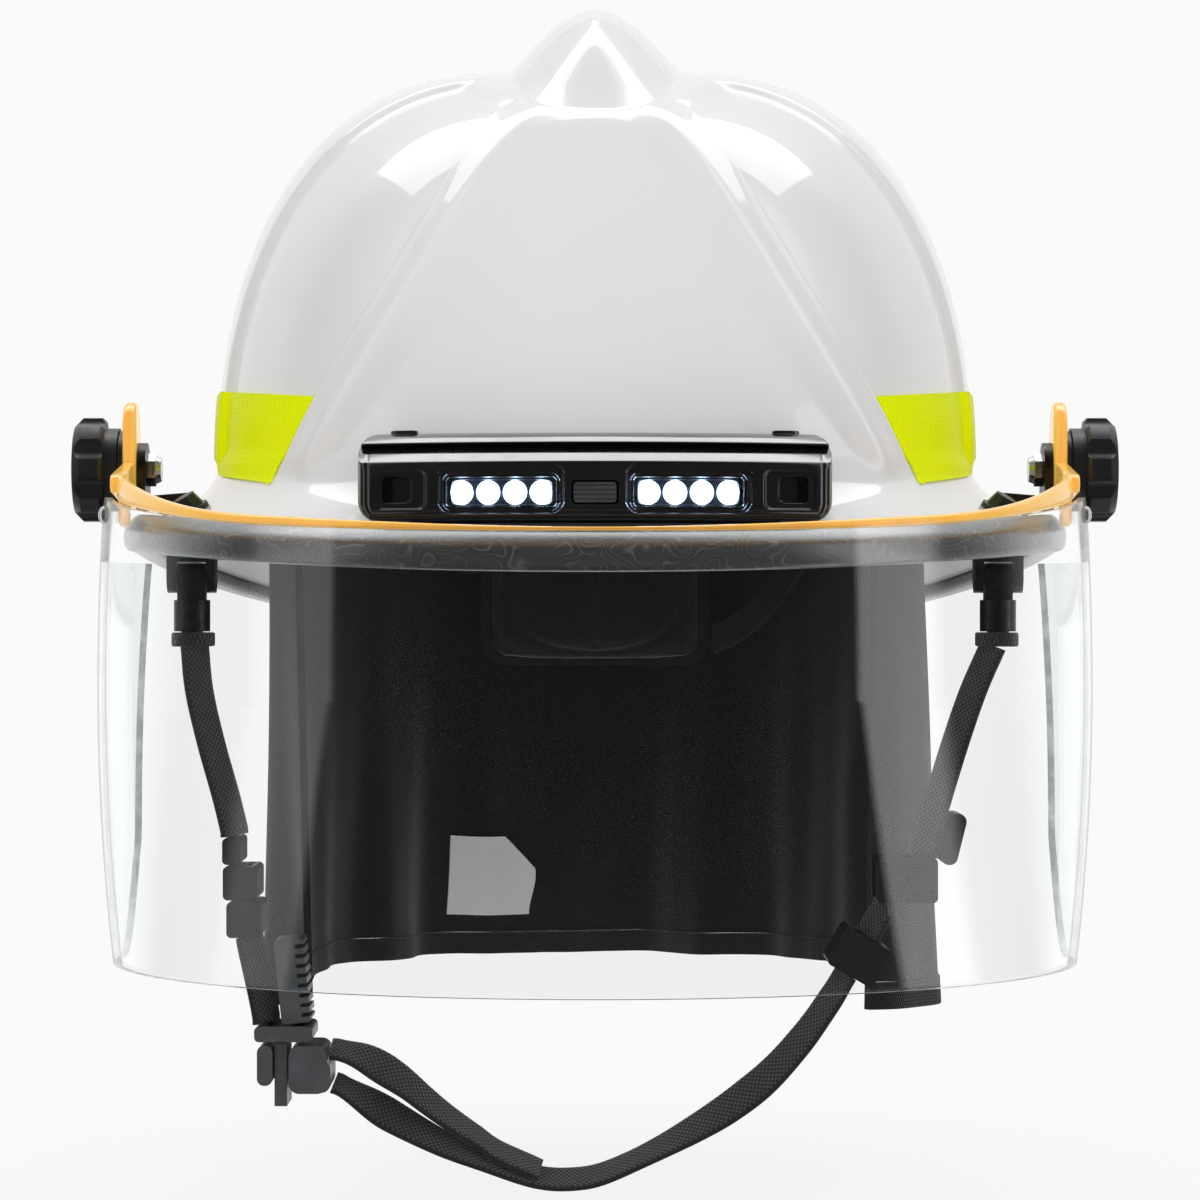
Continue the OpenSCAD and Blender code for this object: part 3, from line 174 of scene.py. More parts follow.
def even_line(points: Sequence[Sequence[float]], step: float) -> Array:
    """A Catmull-Rom line through points, cut into even lengths of about step along x, y and z."""
    fine = catmull(points, 40 * len(points))
    run = np.concatenate([[0], np.cumsum(np.linalg.norm(np.diff(fine[:, :3], axis=0), axis=1))])
    at = np.linspace(0, run[-1], max(3, int(round(run[-1] / step)) + 1))
    return np.stack([np.interp(at, run, fine[:, k]) for k in range(fine.shape[1])], -1)


@dataclass(frozen=True)
class Place:
    """Where a finished piece belongs: its body, its finish's slot and the nodes it stands for."""

    body: Body
    slot: Slot
    replaced: tuple[str, ...] = ()


def mend(mesh: bpy.types.Mesh, weld: float) -> None:
    """Merges points nearer than weld millimetres and turns a closed skin's faces outwards."""
    work = bmesh.new()
    work.from_mesh(mesh)
    if weld:
        bmesh.ops.remove_doubles(work, verts=work.verts, dist=weld * MM)
    bmesh.ops.recalc_face_normals(work, faces=work.faces)
    work.to_mesh(mesh)
    work.free()


def new_piece(name: str, points: Array, faces: Sequence[Sequence[int]], material: bpy.types.Material,
              place: Place, uv: Optional[Array] = None, weld: float = 0.0,
              sharp: float = 50.0) -> bpy.types.Object:
    """Makes a mesh object at the origin and gives it to its body.

    Args:
        name: The piece's name.
        points: Its points in millimetres, one to a row.
        faces: Point numbers of each face.
        material: Its material.
        place: Its body, slot and the nodes it replaces.
        uv: Cloth coordinates in metres for each point, or None.
        weld: Distance in millimetres under which points become one.
        sharp: Edges bent by more degrees than this stay sharp.

    Returns:
        The object.
    """
    mesh = bpy.data.meshes.new(name)
    faces = faces.tolist() if isinstance(faces, np.ndarray) else faces
    mesh.from_pydata((np.asarray(points).reshape(-1, 3) * MM).tolist(), [], faces)
    if uv is not None:
        layer = mesh.uv_layers.new(name="Weave")
        corner = np.empty(len(mesh.loops), int)
        mesh.loops.foreach_get("vertex_index", corner)
        layer.data.foreach_set("uv", np.asarray(uv, float).reshape(-1, 2)[corner].ravel())
    mend(mesh, weld)
    mesh.shade_smooth()
    mesh.set_sharp_from_angle(angle=math.radians(sharp))
    mesh.materials.append(material)
    piece = bpy.data.objects.new(name, mesh)
    bpy.context.scene.collection.objects.link(piece)
    settle(piece, place)
    return piece


def settle(piece: bpy.types.Object, place: Place) -> None:
    """Gives a piece to its body, and hides the nodes it stands for.

    Args:
        piece: The piece, in its place.
        place: What it belongs to.
    """
    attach(piece, place.body.value)
    if place.replaced:
        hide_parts(*place.replaced)
    log.info("%s rides on %s with %d faces", piece.name, place.body.value, len(piece.data.polygons))


def dress(material: bpy.types.Material, *nodes: str) -> None:
    """Puts a material on CAD nodes whose shape stays.

    Args:
        material: The material.
        nodes: Names of the nodes.
    """
    for node in nodes:
        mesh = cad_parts[node].data
        if not mesh.materials:
            mesh.materials.append(material)
        for i in range(len(mesh.materials)):
            mesh.materials[i] = material


def joined(parts: Sequence[tuple[Array, Array]]) -> tuple[Array, list[list[int]]]:
    """Several point and face arrays as one.

    Args:
        parts: Pairs of points and faces.

    Returns:
        All points, and all faces with their numbers moved along.
    """
    points, faces, start = [], [], 0
    for p, f in parts:
        p = np.asarray(p, float).reshape(-1, 3)
        points.append(p)
        faces += [[int(i) + start for i in face] for face in f]
        start += len(p)
    return np.vstack(points), faces


def capped(rings: Array) -> tuple[Array, list[list[int]]]:
    """A closed tube from rings, a flat cap on its first and last.

    Args:
        rings: Rings of points, ring by point by three.

    Returns:
        Points and faces.
    """
    n, m = rings.shape[:2]
    faces = grid_quads(n, m, loop_cols=True).tolist()
    faces += [list(range(m))[::-1], list(range((n - 1) * m, n * m))]
    return rings.reshape(-1, 3), faces


def two_sided(outer: Array, inner: Array) -> tuple[Array, list[list[int]]]:
    """A sheet with thickness from two grids, closed by quads round its rim.

    Args:
        outer: Grid of points of one side.
        inner: Grid of the other side, of the same size.

    Returns:
        Points and faces.
    """
    n, m = outer.shape[:2]
    quads = grid_quads(n, m)
    rim = rim_of(n, m)
    after = np.roll(rim, -1)
    side = np.stack([rim, after, after + n * m, rim + n * m], -1)
    points = np.vstack([outer.reshape(-1, 3), inner.reshape(-1, 3)])
    return points, np.vstack([quads[:, ::-1], quads + n * m, side]).tolist()


def points_of(piece: bpy.types.Object, field: str = "co") -> Array:
    """A mesh's points or, as normal, its normals, in the mesh's own units."""
    flat = np.empty(3 * len(piece.data.vertices))
    piece.data.vertices.foreach_get(field, flat)
    return flat.reshape(-1, 3)


def place_points(piece: bpy.types.Object, points: Array) -> None:
    """Writes points back into a mesh."""
    piece.data.vertices.foreach_set("co", points.ravel())
    piece.data.update()


def bake(piece: bpy.types.Object) -> None:
    """Turns what a piece's modifiers show now into its mesh, and takes them off."""
    shown = bpy.data.meshes.new_from_object(piece.evaluated_get(bpy.context.evaluated_depsgraph_get()))
    piece.modifiers.clear()
    piece.data = shown


@dataclass(frozen=True)
class Padding:
    """How a pad is blown up: lengths in millimetres, the rest as the Cloth modifier takes it."""

    voxel: float = 1.5
    drawn_in: float = 0.8
    cap: float = 1.1
    pressure: float = 4.0
    mass: float = 0.0008
    stretch: float = 0.6
    shear: float = 0.3
    bend: float = 0.02
    frames: int = 20

    def blow_up(self, piece: bpy.types.Object) -> None:
        """Swells a closed skin with Cloth under pressure and no gravity, no point going past the cap."""
        start = points_of(piece)
        modifier = piece.modifiers.new("Cloth", "CLOTH")
        cloth = modifier.settings
        cloth.mass = self.mass
        cloth.tension_stiffness = cloth.compression_stiffness = self.stretch
        cloth.shear_stiffness, cloth.bending_stiffness = self.shear, self.bend
        cloth.use_pressure, cloth.uniform_pressure_force = True, self.pressure
        cloth.effector_weights.gravity = 0
        for step in range(1, self.frames + 1):
            bpy.context.scene.frame_set(step)
        bake(piece)
        bpy.context.scene.frame_set(1)
        move = points_of(piece) - start
        size = np.linalg.norm(move, axis=-1, keepdims=True)
        log.info("%s swelled by %.2f mm at most", piece.name, size.max() / MM)
        place_points(piece, start + move * np.minimum(1, self.cap * MM / np.maximum(size, 1e-9)))

    def make(self, name: str, node: str, seams: Callable[[Array], Array]) -> bpy.types.Object:
        """A pad from its node's solid.

        Formula: the solid's skin is remeshed and drawn in along its normals, swelled, subdivided
        once, and pressed in again along its normals by the depth of the sewn lines.

        Args:
            name: The piece's name.
            node: The node it stands for.
            seams: Depth in millimetres for points in millimetres.

        Returns:
            The pad.
        """
        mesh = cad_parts[node].data.copy()
        mend(mesh, 0.02)
        piece = bpy.data.objects.new(name, mesh)
        bpy.context.scene.collection.objects.link(piece)
        remesh = piece.modifiers.new("Remesh", "REMESH")
        remesh.mode, remesh.voxel_size = "VOXEL", self.voxel * MM
        bake(piece)
        place_points(piece, points_of(piece) - points_of(piece, "normal") * self.drawn_in * MM)
        self.blow_up(piece)
        finer = piece.modifiers.new("Subdivision", "SUBSURF")
        finer.levels = finer.render_levels = 1
        bake(piece)
        points = points_of(piece)
        place_points(piece, points - points_of(piece, "normal") * seams(points / MM)[:, None] * MM)
        piece.data.name = name
        piece.data.shade_smooth()
        piece.data.materials.clear()
        piece.data.materials.append(PAD_CLOTH.material())
        settle(piece, Place(Body.HELMET, Slot.PAD, (node,)))
        return piece


def sewn(distance: Array, depth: float = 0.9, width: float = 1.1) -> Array:
    """Depth of a sewn line at a distance from it: a bell curve."""
    return depth * np.exp(-(distance / width) ** 2)


# Finishes


def linear(colour: str) -> tuple[float, float, float, float]:
    """A #rrggbb sRGB colour in the linear numbers that sockets take."""
    parts = [int(colour[i:i + 2], 16) / 255 for i in (1, 3, 5)]
    return tuple(c / 12.92 if c <= 0.04045 else ((c + 0.055) / 1.055) ** 2.4 for c in parts) + (1.0,)


def add_node(tree: bpy.types.NodeTree, kind: str, links: Optional[dict] = None, **settings) -> bpy.types.Node:
    """Adds a node with its settings and links.

    Args:
        tree: The node tree.
        kind: The node's type.
        links: Values or output sockets for its inputs, by name or number.
        settings: The node's own properties.

    Returns:
        The node.
    """
    node = tree.nodes.new(kind)
    for key, value in settings.items():
        setattr(node, key, value)
    for key, value in (links or {}).items():
        if isinstance(value, Socket):
            tree.links.new(value, node.inputs[key])
        else:
            node.inputs[key].default_value = value
    return node


def start_material(name: str) -> tuple[bpy.types.Material, bpy.types.NodeTree, Socket]:
    """A new material, its emptied tree and the surface input of its output node."""
    material = bpy.data.materials.new(name)
    material.use_nodes = True
    tree = material.node_tree
    tree.nodes.clear()
    return material, tree, add_node(tree, "ShaderNodeOutputMaterial").inputs["Surface"]


def place_of(tree: bpy.types.NodeTree, uv: bool = False) -> Socket:
    """Object coordinates in metres, or the piece's own cloth coordinates."""
    if uv:
        return add_node(tree, "ShaderNodeUVMap", uv_map="Weave").outputs["UV"]
    return add_node(tree, "ShaderNodeTexCoord").outputs["Object"]


def speckle(tree: bpy.types.NodeTree, size: float, detail: float) -> Socket:
    """Noise whose spots are about size millimetres across."""
    return add_node(tree, "ShaderNodeTexNoise", {"Vector": place_of(tree), "Scale": 1000 / size,
                                                 "Detail": detail}).outputs["Fac"]


def spread(tree: bpy.types.NodeTree, value: Socket, low: float, high: float, from_low: float = 0.3,
           from_high: float = 0.7) -> Socket:
    """A value stretched from one range to another and held there."""
    return add_node(tree, "ShaderNodeMapRange", {"Value": value, "From Min": from_low, "From Max": from_high,
                                                 "To Min": low, "To Max": high}).outputs["Result"]


def blended(tree: bpy.types.NodeTree, share: Union[Socket, float], a: Union[Socket, str],
            b: Union[Socket, str]) -> Socket:
    """Two colours mixed by share, given as sockets or as hex."""
    a, b = (linear(c) if isinstance(c, str) else c for c in (a, b))
    return add_node(tree, "ShaderNodeMix", {0: share, 6: a, 7: b}, data_type="RGBA").outputs[2]


def sum_of(tree: bpy.types.NodeTree, operation: str, a: Union[Socket, float],
           b: Union[Socket, float] = 0.0) -> Socket:
    """One Math node's result."""
    return add_node(tree, "ShaderNodeMath", {0: a, 1: b}, operation=operation).outputs[0]


def eased(tree: bpy.types.NodeTree, radius: float) -> Socket:
    """Normals that round sharp edges off by a radius in millimetres, as a mould does."""
    return add_node(tree, "ShaderNodeBevel", {"Radius": radius * MM}, samples=6).outputs["Normal"]


def bumped(tree: bpy.types.NodeTree, height: Socket, depth: float, normal: Optional[Socket] = None) -> Socket:
    """Normals bent by a height of depth millimetres, over other normals."""
    links = {"Height": height, "Distance": depth * MM}
    if normal is not None:
        links["Normal"] = normal
    return add_node(tree, "ShaderNodeBump", links).outputs["Normal"]


@dataclass(frozen=True)
class Finish:
    """What a surface is made of; each kind of finish says how its nodes make that surface."""

    name: str

    def surface(self, tree: bpy.types.NodeTree) -> Socket:
        """The finished surface."""
        raise NotImplementedError

    @functools.cache
    def material(self) -> bpy.types.Material:
        """The material, made the first time that it's asked for."""
        material, tree, surface = start_material(self.name)
        tree.links.new(self.surface(tree), surface)
        return material


@dataclass(frozen=True)
class MouldedPlastic(Finish):
    """Injection-moulded nylon or ABS: an even colour under a spark-eroded grain that breaks up the
    highlight, drawn coarser than the real one so that it shows; edges eased by the tool's radius, and
    a little paler in patches where hands rub it."""

    colour: str
    worn: str
    roughness: float = 0.45
    grain: float = 0.5
    grain_depth: float = 0.03
    edge: float = 0.4
    lacquer: float = 0.0

    def surface(self, tree: bpy.types.NodeTree) -> Socket:
        """The finished surface."""
        wear = spread(tree, speckle(tree, 14, 4), 0, 0.6, 0.5, 0.75)
        bsdf = add_node(tree, "ShaderNodeBsdfPrincipled", {
            "Base Color": blended(tree, wear, self.colour, self.worn), "IOR": 1.5,
            "Coat Weight": self.lacquer, "Coat Roughness": 0.1, "Coat IOR": 1.6,
            "Roughness": spread(tree, speckle(tree, 6, 4), self.roughness - 0.07, self.roughness + 0.08),
            "Normal": bumped(tree, speckle(tree, self.grain, 2), self.grain_depth, eased(tree, self.edge))})
        return bsdf.outputs[0]


@dataclass(frozen=True)
class PaintedShell(Finish):
    """Thermoplastic shell under two-pack gloss paint: near-white colour with a hard clear gloss that
    mirrors the lamps sharply, a trace of orange peel about 4 mm long, and faint dust."""

    name: str = "Gloss painted moulded shell"
    colour: str = "#f1f1f1"
    dust: str = "#e8e7e4"
    peel: float = 4.0
    peel_height: float = 0.004
    gloss: float = 0.9
    gloss_blur: float = 0.03

    def surface(self, tree: bpy.types.NodeTree) -> Socket:
        """The finished surface."""
        dust = spread(tree, speckle(tree, 45, 4), 0, 0.35, 0.4, 0.85)
        peel = bumped(tree, speckle(tree, self.peel, 1), self.peel_height)
        bsdf = add_node(tree, "ShaderNodeBsdfPrincipled", {
            "Base Color": blended(tree, dust, self.colour, self.dust), "IOR": 1.45, "Normal": peel,
            "Coat Weight": self.gloss, "Coat Roughness": self.gloss_blur,
            "Roughness": spread(tree, speckle(tree, 9, 5), 0.35, 0.45)})
        return bsdf.outputs[0]


@dataclass(frozen=True)
class EmbossedRubber(Finish):
    """Moulded rubber edging: satin mid-grey, engraved all over with swirls of parallel lines about
    2 mm apart, whose lips catch the light; that highlight is painted as a paler colour on the ridges.
    The lines are drawn 0.5 mm wide so that they show."""

    name: str = "Embossed moulded rubber"
    colour: str = "#313235"
    # painted highlight: the paler colour of the ridges, where their lips catch the light
    line: str = "#5c5d61"
    swirl: float = 13.0
    turns: float = 62.0
    height: float = 0.35
    film: float = 0.3
    film_index: float = 2.2

    def surface(self, tree: bpy.types.NodeTree) -> Socket:
        """The finished surface: level lines of a slow noise, taken as a sine of many turns."""
        level = sum_of(tree, "MULTIPLY", speckle(tree, self.swirl, 1.2), self.turns)
        wave = sum_of(tree, "ABSOLUTE", sum_of(tree, "SINE", level))
        bare = spread(tree, speckle(tree, 16, 0.5), 0, 1, 0.36, 0.46)
        ridge = sum_of(tree, "MULTIPLY", spread(tree, wave, 1, 0, 0.05, 0.5), bare)
        grit = speckle(tree, 0.6, 2)
        height = sum_of(tree, "ADD", ridge, sum_of(tree, "MULTIPLY", grit, 0.12))
        bsdf = add_node(tree, "ShaderNodeBsdfPrincipled", {
            # the ridges are painted paler: a painted highlight on the lips, besides their real bump
            "Base Color": blended(tree, ridge, self.colour, self.line), "IOR": 1.52,
            "Coat Weight": 1.0, "Coat Roughness": self.film, "Coat IOR": self.film_index,
            "Roughness": spread(tree, ridge, 0.5, 0.36, 0, 1), "Normal": bumped(tree, height, self.height)})
        return bsdf.outputs[0]


@dataclass(frozen=True)
class Metal(Finish):
    """Turned, pressed or plated metal: a bright reflection blurred by fine tool marks, duller in
    patches where it has been handled."""

    colour: str
    dull: str
    roughness: float = 0.25
    edge: float = 0.25

    def surface(self, tree: bpy.types.NodeTree) -> Socket:
        """The finished surface."""
        worn = spread(tree, speckle(tree, 3, 5), 0, 1)
        bsdf = add_node(tree, "ShaderNodeBsdfPrincipled", {
            "Base Color": blended(tree, worn, self.colour, self.dull), "Metallic": 1.0,
            "Roughness": spread(tree, speckle(tree, 1.2, 5), self.roughness - 0.08, self.roughness + 0.1),
            "Normal": bumped(tree, speckle(tree, 0.4, 2), 0.006, eased(tree, self.edge))})
        return bsdf.outputs[0]


@dataclass(frozen=True)
class Woven(Finish):
    """Woven or knitted cloth: threads over and under each other, drawn about 1 mm apart from the
    piece's own cloth coordinates, coarser than real ones so that they show, with soft sheen along
    the folds and lint that lifts the colour in patches."""

    colour: str
    raised: str
    thread: float = 1.2
    depth: float = 0.25
    across: float = 1.0
    sheen: float = 0.3
    uv: bool = True

    def surface(self, tree: bpy.types.NodeTree) -> Socket:
        """The finished surface."""
        split = add_node(tree, "ShaderNodeSeparateXYZ", {0: place_of(tree, self.uv)})
        turns = 2000 * math.pi / self.thread
        if self.uv:
            u = sum_of(tree, "SINE", sum_of(tree, "MULTIPLY", split.outputs["X"], turns))
            v = sum_of(tree, "SINE", sum_of(tree, "MULTIPLY", split.outputs["Y"], turns * self.across))
            weave = sum_of(tree, "ADD", sum_of(tree, "MULTIPLY", sum_of(tree, "MULTIPLY", u, v), 0.5), 0.5)
        else:
            weave = speckle(tree, self.thread, 1)
        lint = spread(tree, speckle(tree, 18, 5), 0, 0.45, 0.4, 0.75)
        height = sum_of(tree, "ADD", weave, sum_of(tree, "MULTIPLY", speckle(tree, 0.6, 2), 0.4))
        colour = blended(tree, lint, blended(tree, weave, self.colour, self.raised), self.raised)
        bsdf = add_node(tree, "ShaderNodeBsdfPrincipled", {
            "Base Color": colour, "IOR": 1.45, "Roughness": spread(tree, weave, 0.95, 0.8, 0, 1),
            "Sheen Weight": self.sheen, "Sheen Roughness": 0.5, "Normal": bumped(tree, height, self.depth)})
        return bsdf.outputs[0]


@dataclass(frozen=True)
class Foam(Finish):
    """Moulded rigid foam: matt grey-buff beads, each a shallow dimple about 3 mm across."""

    name: str = "Moulded bead foam"
    colour: str = "#8e8f8a"
    pit: str = "#6f706b"
    bead: float = 3.0

    def surface(self, tree: bpy.types.NodeTree) -> Socket:
        """The finished surface."""
        beads = add_node(tree, "ShaderNodeTexVoronoi", {"Vector": place_of(tree), "Scale": 1000 / self.bead},
                         feature="DISTANCE_TO_EDGE").outputs["Distance"]
        bead = spread(tree, beads, 0, 1, 0, 0.12)
        bsdf = add_node(tree, "ShaderNodeBsdfPrincipled", {
            "Base Color": blended(tree, bead, self.pit, self.colour), "IOR": 1.4,
            "Roughness": spread(tree, bead, 0.95, 0.75, 0, 1), "Normal": bumped(tree, bead, 0.2)})
        return bsdf.outputs[0]


@dataclass(frozen=True)
class Prismatic(Finish):
    """Lime retroreflective film: a hot yellow-green under a clear face, with the fine honeycomb of
    its prism cells, 1.5 mm across, and seals between them that look a shade darker. A faint emission
    in its own colour is a painted glow that brightens it, though it is no lamp."""

    name: str = "Lime prismatic film"
    colour: str = "#e4f200"
    seal: str = "#d9e800"
    cell: float = 1.5
    # painted glow: strength of the emission that brightens the film
    painted_glow: float = 0.14

    def surface(self, tree: bpy.types.NodeTree) -> Socket:
        """The finished surface."""
        edge = add_node(tree, "ShaderNodeTexVoronoi", {"Vector": place_of(tree), "Scale": 1000 / self.cell,
                                                       "Randomness": 0.25}, feature="DISTANCE_TO_EDGE")
        cell = spread(tree, edge.outputs["Distance"], 0, 1, 0.02, 0.1)
        bsdf = add_node(tree, "ShaderNodeBsdfPrincipled", {
            "Base Color": blended(tree, cell, self.seal, self.colour), "IOR": 1.55,
            "Specular IOR Level": 0.03, "Roughness": spread(tree, cell, 0.6, 0.35, 0, 1),
            # painted glow: the film gives out light in its own colour, though it is no lamp
            "Emission Color": linear(self.colour), "Emission Strength": self.painted_glow,
            "Normal": bumped(tree, cell, 0.01)})
        return bsdf.outputs[0]


@dataclass(frozen=True)
class ClearSheet(Finish):
    """Polished clear polycarbonate: seen through, with a sharp reflection that grows towards its
    outline, and dark only where the eye looks along the sheet. Wiping marks blur it a little."""

    tint: str = "#feffff"
    along: str = "#4c5254"
    roughness: float = 0.01
    head_on: float = 0.051
    outline: float = 0.6

    def surface(self, tree: bpy.types.NodeTree) -> Socket:
        """The finished surface; its mirror share is head_on plus outline by facing to the power 5."""
        facing = add_node(tree, "ShaderNodeLayerWeight", {"Blend": 0.5}).outputs["Facing"]
        colour = blended(tree, spread(tree, facing, 0, 1, 0.9, 0.985), self.tint, self.along)
        clear = add_node(tree, "ShaderNodeBsdfTransparent", {"Color": colour}).outputs[0]
        marks = spread(tree, speckle(tree, 8, 6), self.roughness, self.roughness + 0.02)
        gloss = add_node(tree, "ShaderNodeBsdfAnisotropic", {"Color": linear("#ffffff"), "Roughness": marks})
        grown = sum_of(tree, "MULTIPLY", sum_of(tree, "POWER", facing, 5.0), self.outline)
        mix = add_node(tree, "ShaderNodeMixShader", {0: sum_of(tree, "ADD", grown, self.head_on), 1: clear,
                                                     2: gloss.outputs[0]})
        return mix.outputs[0]


@dataclass(frozen=True)
class CutEdge(Finish):
    """The sawn and polished edge of a clear sheet: milky, bright and a little grey, as light that
    runs along inside the sheet leaves it there."""

    name: str = "Polished cut edge of polycarbonate"
    colour: str = "#e9eced"
    shade: str = "#9ea5a7"

    def surface(self, tree: bpy.types.NodeTree) -> Socket:
        """The finished surface."""
        streak = spread(tree, speckle(tree, 5, 3), 0, 1, 0.35, 0.65)
        bsdf = add_node(tree, "ShaderNodeBsdfPrincipled", {
            "Base Color": blended(tree, streak, self.colour, self.shade), "IOR": 1.585,
            "Roughness": spread(tree, streak, 0.15, 0.3, 0, 1)})
        return bsdf.outputs[0]


@dataclass(frozen=True)
class TintedSheet(Finish):
    """Amber moulding, clear as glass: pale where the eye looks straight through it and deep orange
    along its rounded edges, where it looks through more of it. Flow marks cloud it a little. A faint
    emission in its edge colour is a painted glow that brightens it, though it is no lamp."""

    name: str = "Amber transparent moulding"
    face: str = "#fae6b4"
    edge: str = "#eebb5a"
    deep: str = "#dca03a"
    rim: float = 0.7
    # painted glow: strength of the emission that lifts the amber, which is no lamp
    painted_glow: float = 0.35

    def surface(self, tree: bpy.types.NodeTree) -> Socket:
        """The finished surface."""
        facing = add_node(tree, "ShaderNodeLayerWeight", {"Blend": 0.5, "Normal": eased(tree, self.rim)}
                          ).outputs["Facing"]
        cloud = spread(tree, speckle(tree, 9, 3), 0, 0.5)
        share = spread(tree, facing, 0, 1, 0.12, 0.7)
        tint = blended(tree, share, self.face, self.edge)
        clear = add_node(tree, "ShaderNodeBsdfTransparent", {"Color": tint}).outputs[0]
        body = add_node(tree, "ShaderNodeBsdfPrincipled", {
            "Base Color": blended(tree, cloud, self.edge, self.deep), "IOR": 1.6,
            "Roughness": spread(tree, speckle(tree, 5, 3), 0.1, 0.18),
            # painted glow: the amber gives out light in its edge colour, though it is no lamp
            "Emission Color": linear(self.edge), "Emission Strength": self.painted_glow,
            "Normal": bumped(tree, speckle(tree, 2, 1), 0.01, eased(tree, self.rim))})
        solid = spread(tree, share, 0.55, 1, 0.12, 0.5)
        mix = add_node(tree, "ShaderNodeMixShader", {0: solid, 1: clear, 2: body.outputs[0]})
        return mix.outputs[0]


@dataclass(frozen=True)
class Glow(Finish):
    """A lit diode under its clear dome: blue-white and brightest at its middle."""

    name: str = "Lit diode dome"
    colour: str = "#dcebff"
    rim: str = "#7fb4ff"
    strength: float = 9.0

    def surface(self, tree: bpy.types.NodeTree) -> Socket:
        """The finished surface."""
        facing = add_node(tree, "ShaderNodeLayerWeight", {"Blend": 0.3}).outputs["Facing"]
        flaw = spread(tree, speckle(tree, 1.5, 2), 0.9, 1.0)
        colour = blended(tree, facing, self.colour, self.rim)
        bsdf = add_node(tree, "ShaderNodeBsdfPrincipled", {
            "Base Color": linear(self.colour), "Roughness": spread(tree, flaw, 0.12, 0.2, 0.9, 1.0),
            "Emission Color": colour, "Emission Strength": self.strength})
        return bsdf.outputs[0]


SHELL = PaintedShell()
RUBBER = EmbossedRubber()
LIME = Prismatic()
FOAM = Foam()
NYLON = MouldedPlastic("Black moulded glass-filled nylon", "#1b1c1e", "#2a2b2e", 0.42, 0.6, 0.03)
LIGHT_CASE = MouldedPlastic("Black moulded polycarbonate case", "#101113", "#1a1b1d", 0.2, 0.7, 0.004, 0.2,
                            1.0)
BAND_PLASTIC = MouldedPlastic("Satin moulded polyethylene", "#2b2c2f", "#3a3b3f", 0.5, 0.8, 0.02)
GREY_BUCKLE = MouldedPlastic("Grey moulded acetal", "#4a4c4f", "#606266", 0.4, 0.6, 0.02)
PINION_NYLON = MouldedPlastic("Natural moulded nylon", "#d8d4c6", "#c4bfae", 0.4, 0.6, 0.01)
SEAT_RUBBER = MouldedPlastic("Moulded silicone seat", "#2c2d30", "#3b3c40", 0.7, 0.4, 0.02)
BUTTON = MouldedPlastic("Moulded soft-touch button", "#3a3b3f", "#505257", 0.55, 0.4, 0.02, 0.15)
BOARD = MouldedPlastic("Green solder mask", "#235c30", "#2f7a40", 0.3, 2.0, 0.02, 0.1)
CELL = MouldedPlastic("Shrink-wrapped cell can", "#57595c", "#77797c", 0.25, 4.0, 0.01)
STEEL = Metal("Bright zinc-plated steel", "#c9cacb", "#a8aaac", 0.24)
BLACK_STEEL = Metal("Black oxide steel", "#3a3b3d", "#4b4d50", 0.38)
WEBBING = Woven("Woven polyester webbing", "#17181a", "#2d2e32", 1.6, 0.35, 0.5, 0.25)
CURTAIN = Woven("Woven aramid curtain cloth", "#08090a", "#121316", 1.1, 0.22, 1.0, 0.35)
BINDING = Woven("Woven binding tape", "#131416", "#242529", 1.0, 0.25, 0.5, 0.25)
PAD_CLOTH = Woven("Brushed knit pad cloth", "#121315", "#232428", 0.9, 0.18, 1.0, 0.5, False)
TAB_CLOTH = Woven("Hook and loop tab cloth", "#1b1c1f", "#303237", 0.9, 0.2, 1.0, 0.3, False)
TAG_CLOTH = Woven("Woven satin tag", "#e9e9e6", "#f7f7f5", 0.9, 0.06, 1.0, 0.1)
CLEAR = ClearSheet("Polished clear polycarbonate")
LENS = ClearSheet("Clear lens polycarbonate", "#f8fbff", "#c8d2dc", 0.02)
CUT_EDGE = CutEdge()
BEZEL = MouldedPlastic("Black moulded diode frame", "#1a1c20", "#2a2e36", 0.3, 0.8, 0.01, 0.15)
AMBER = TintedSheet()
DIODE = Glow()


# The shell's form


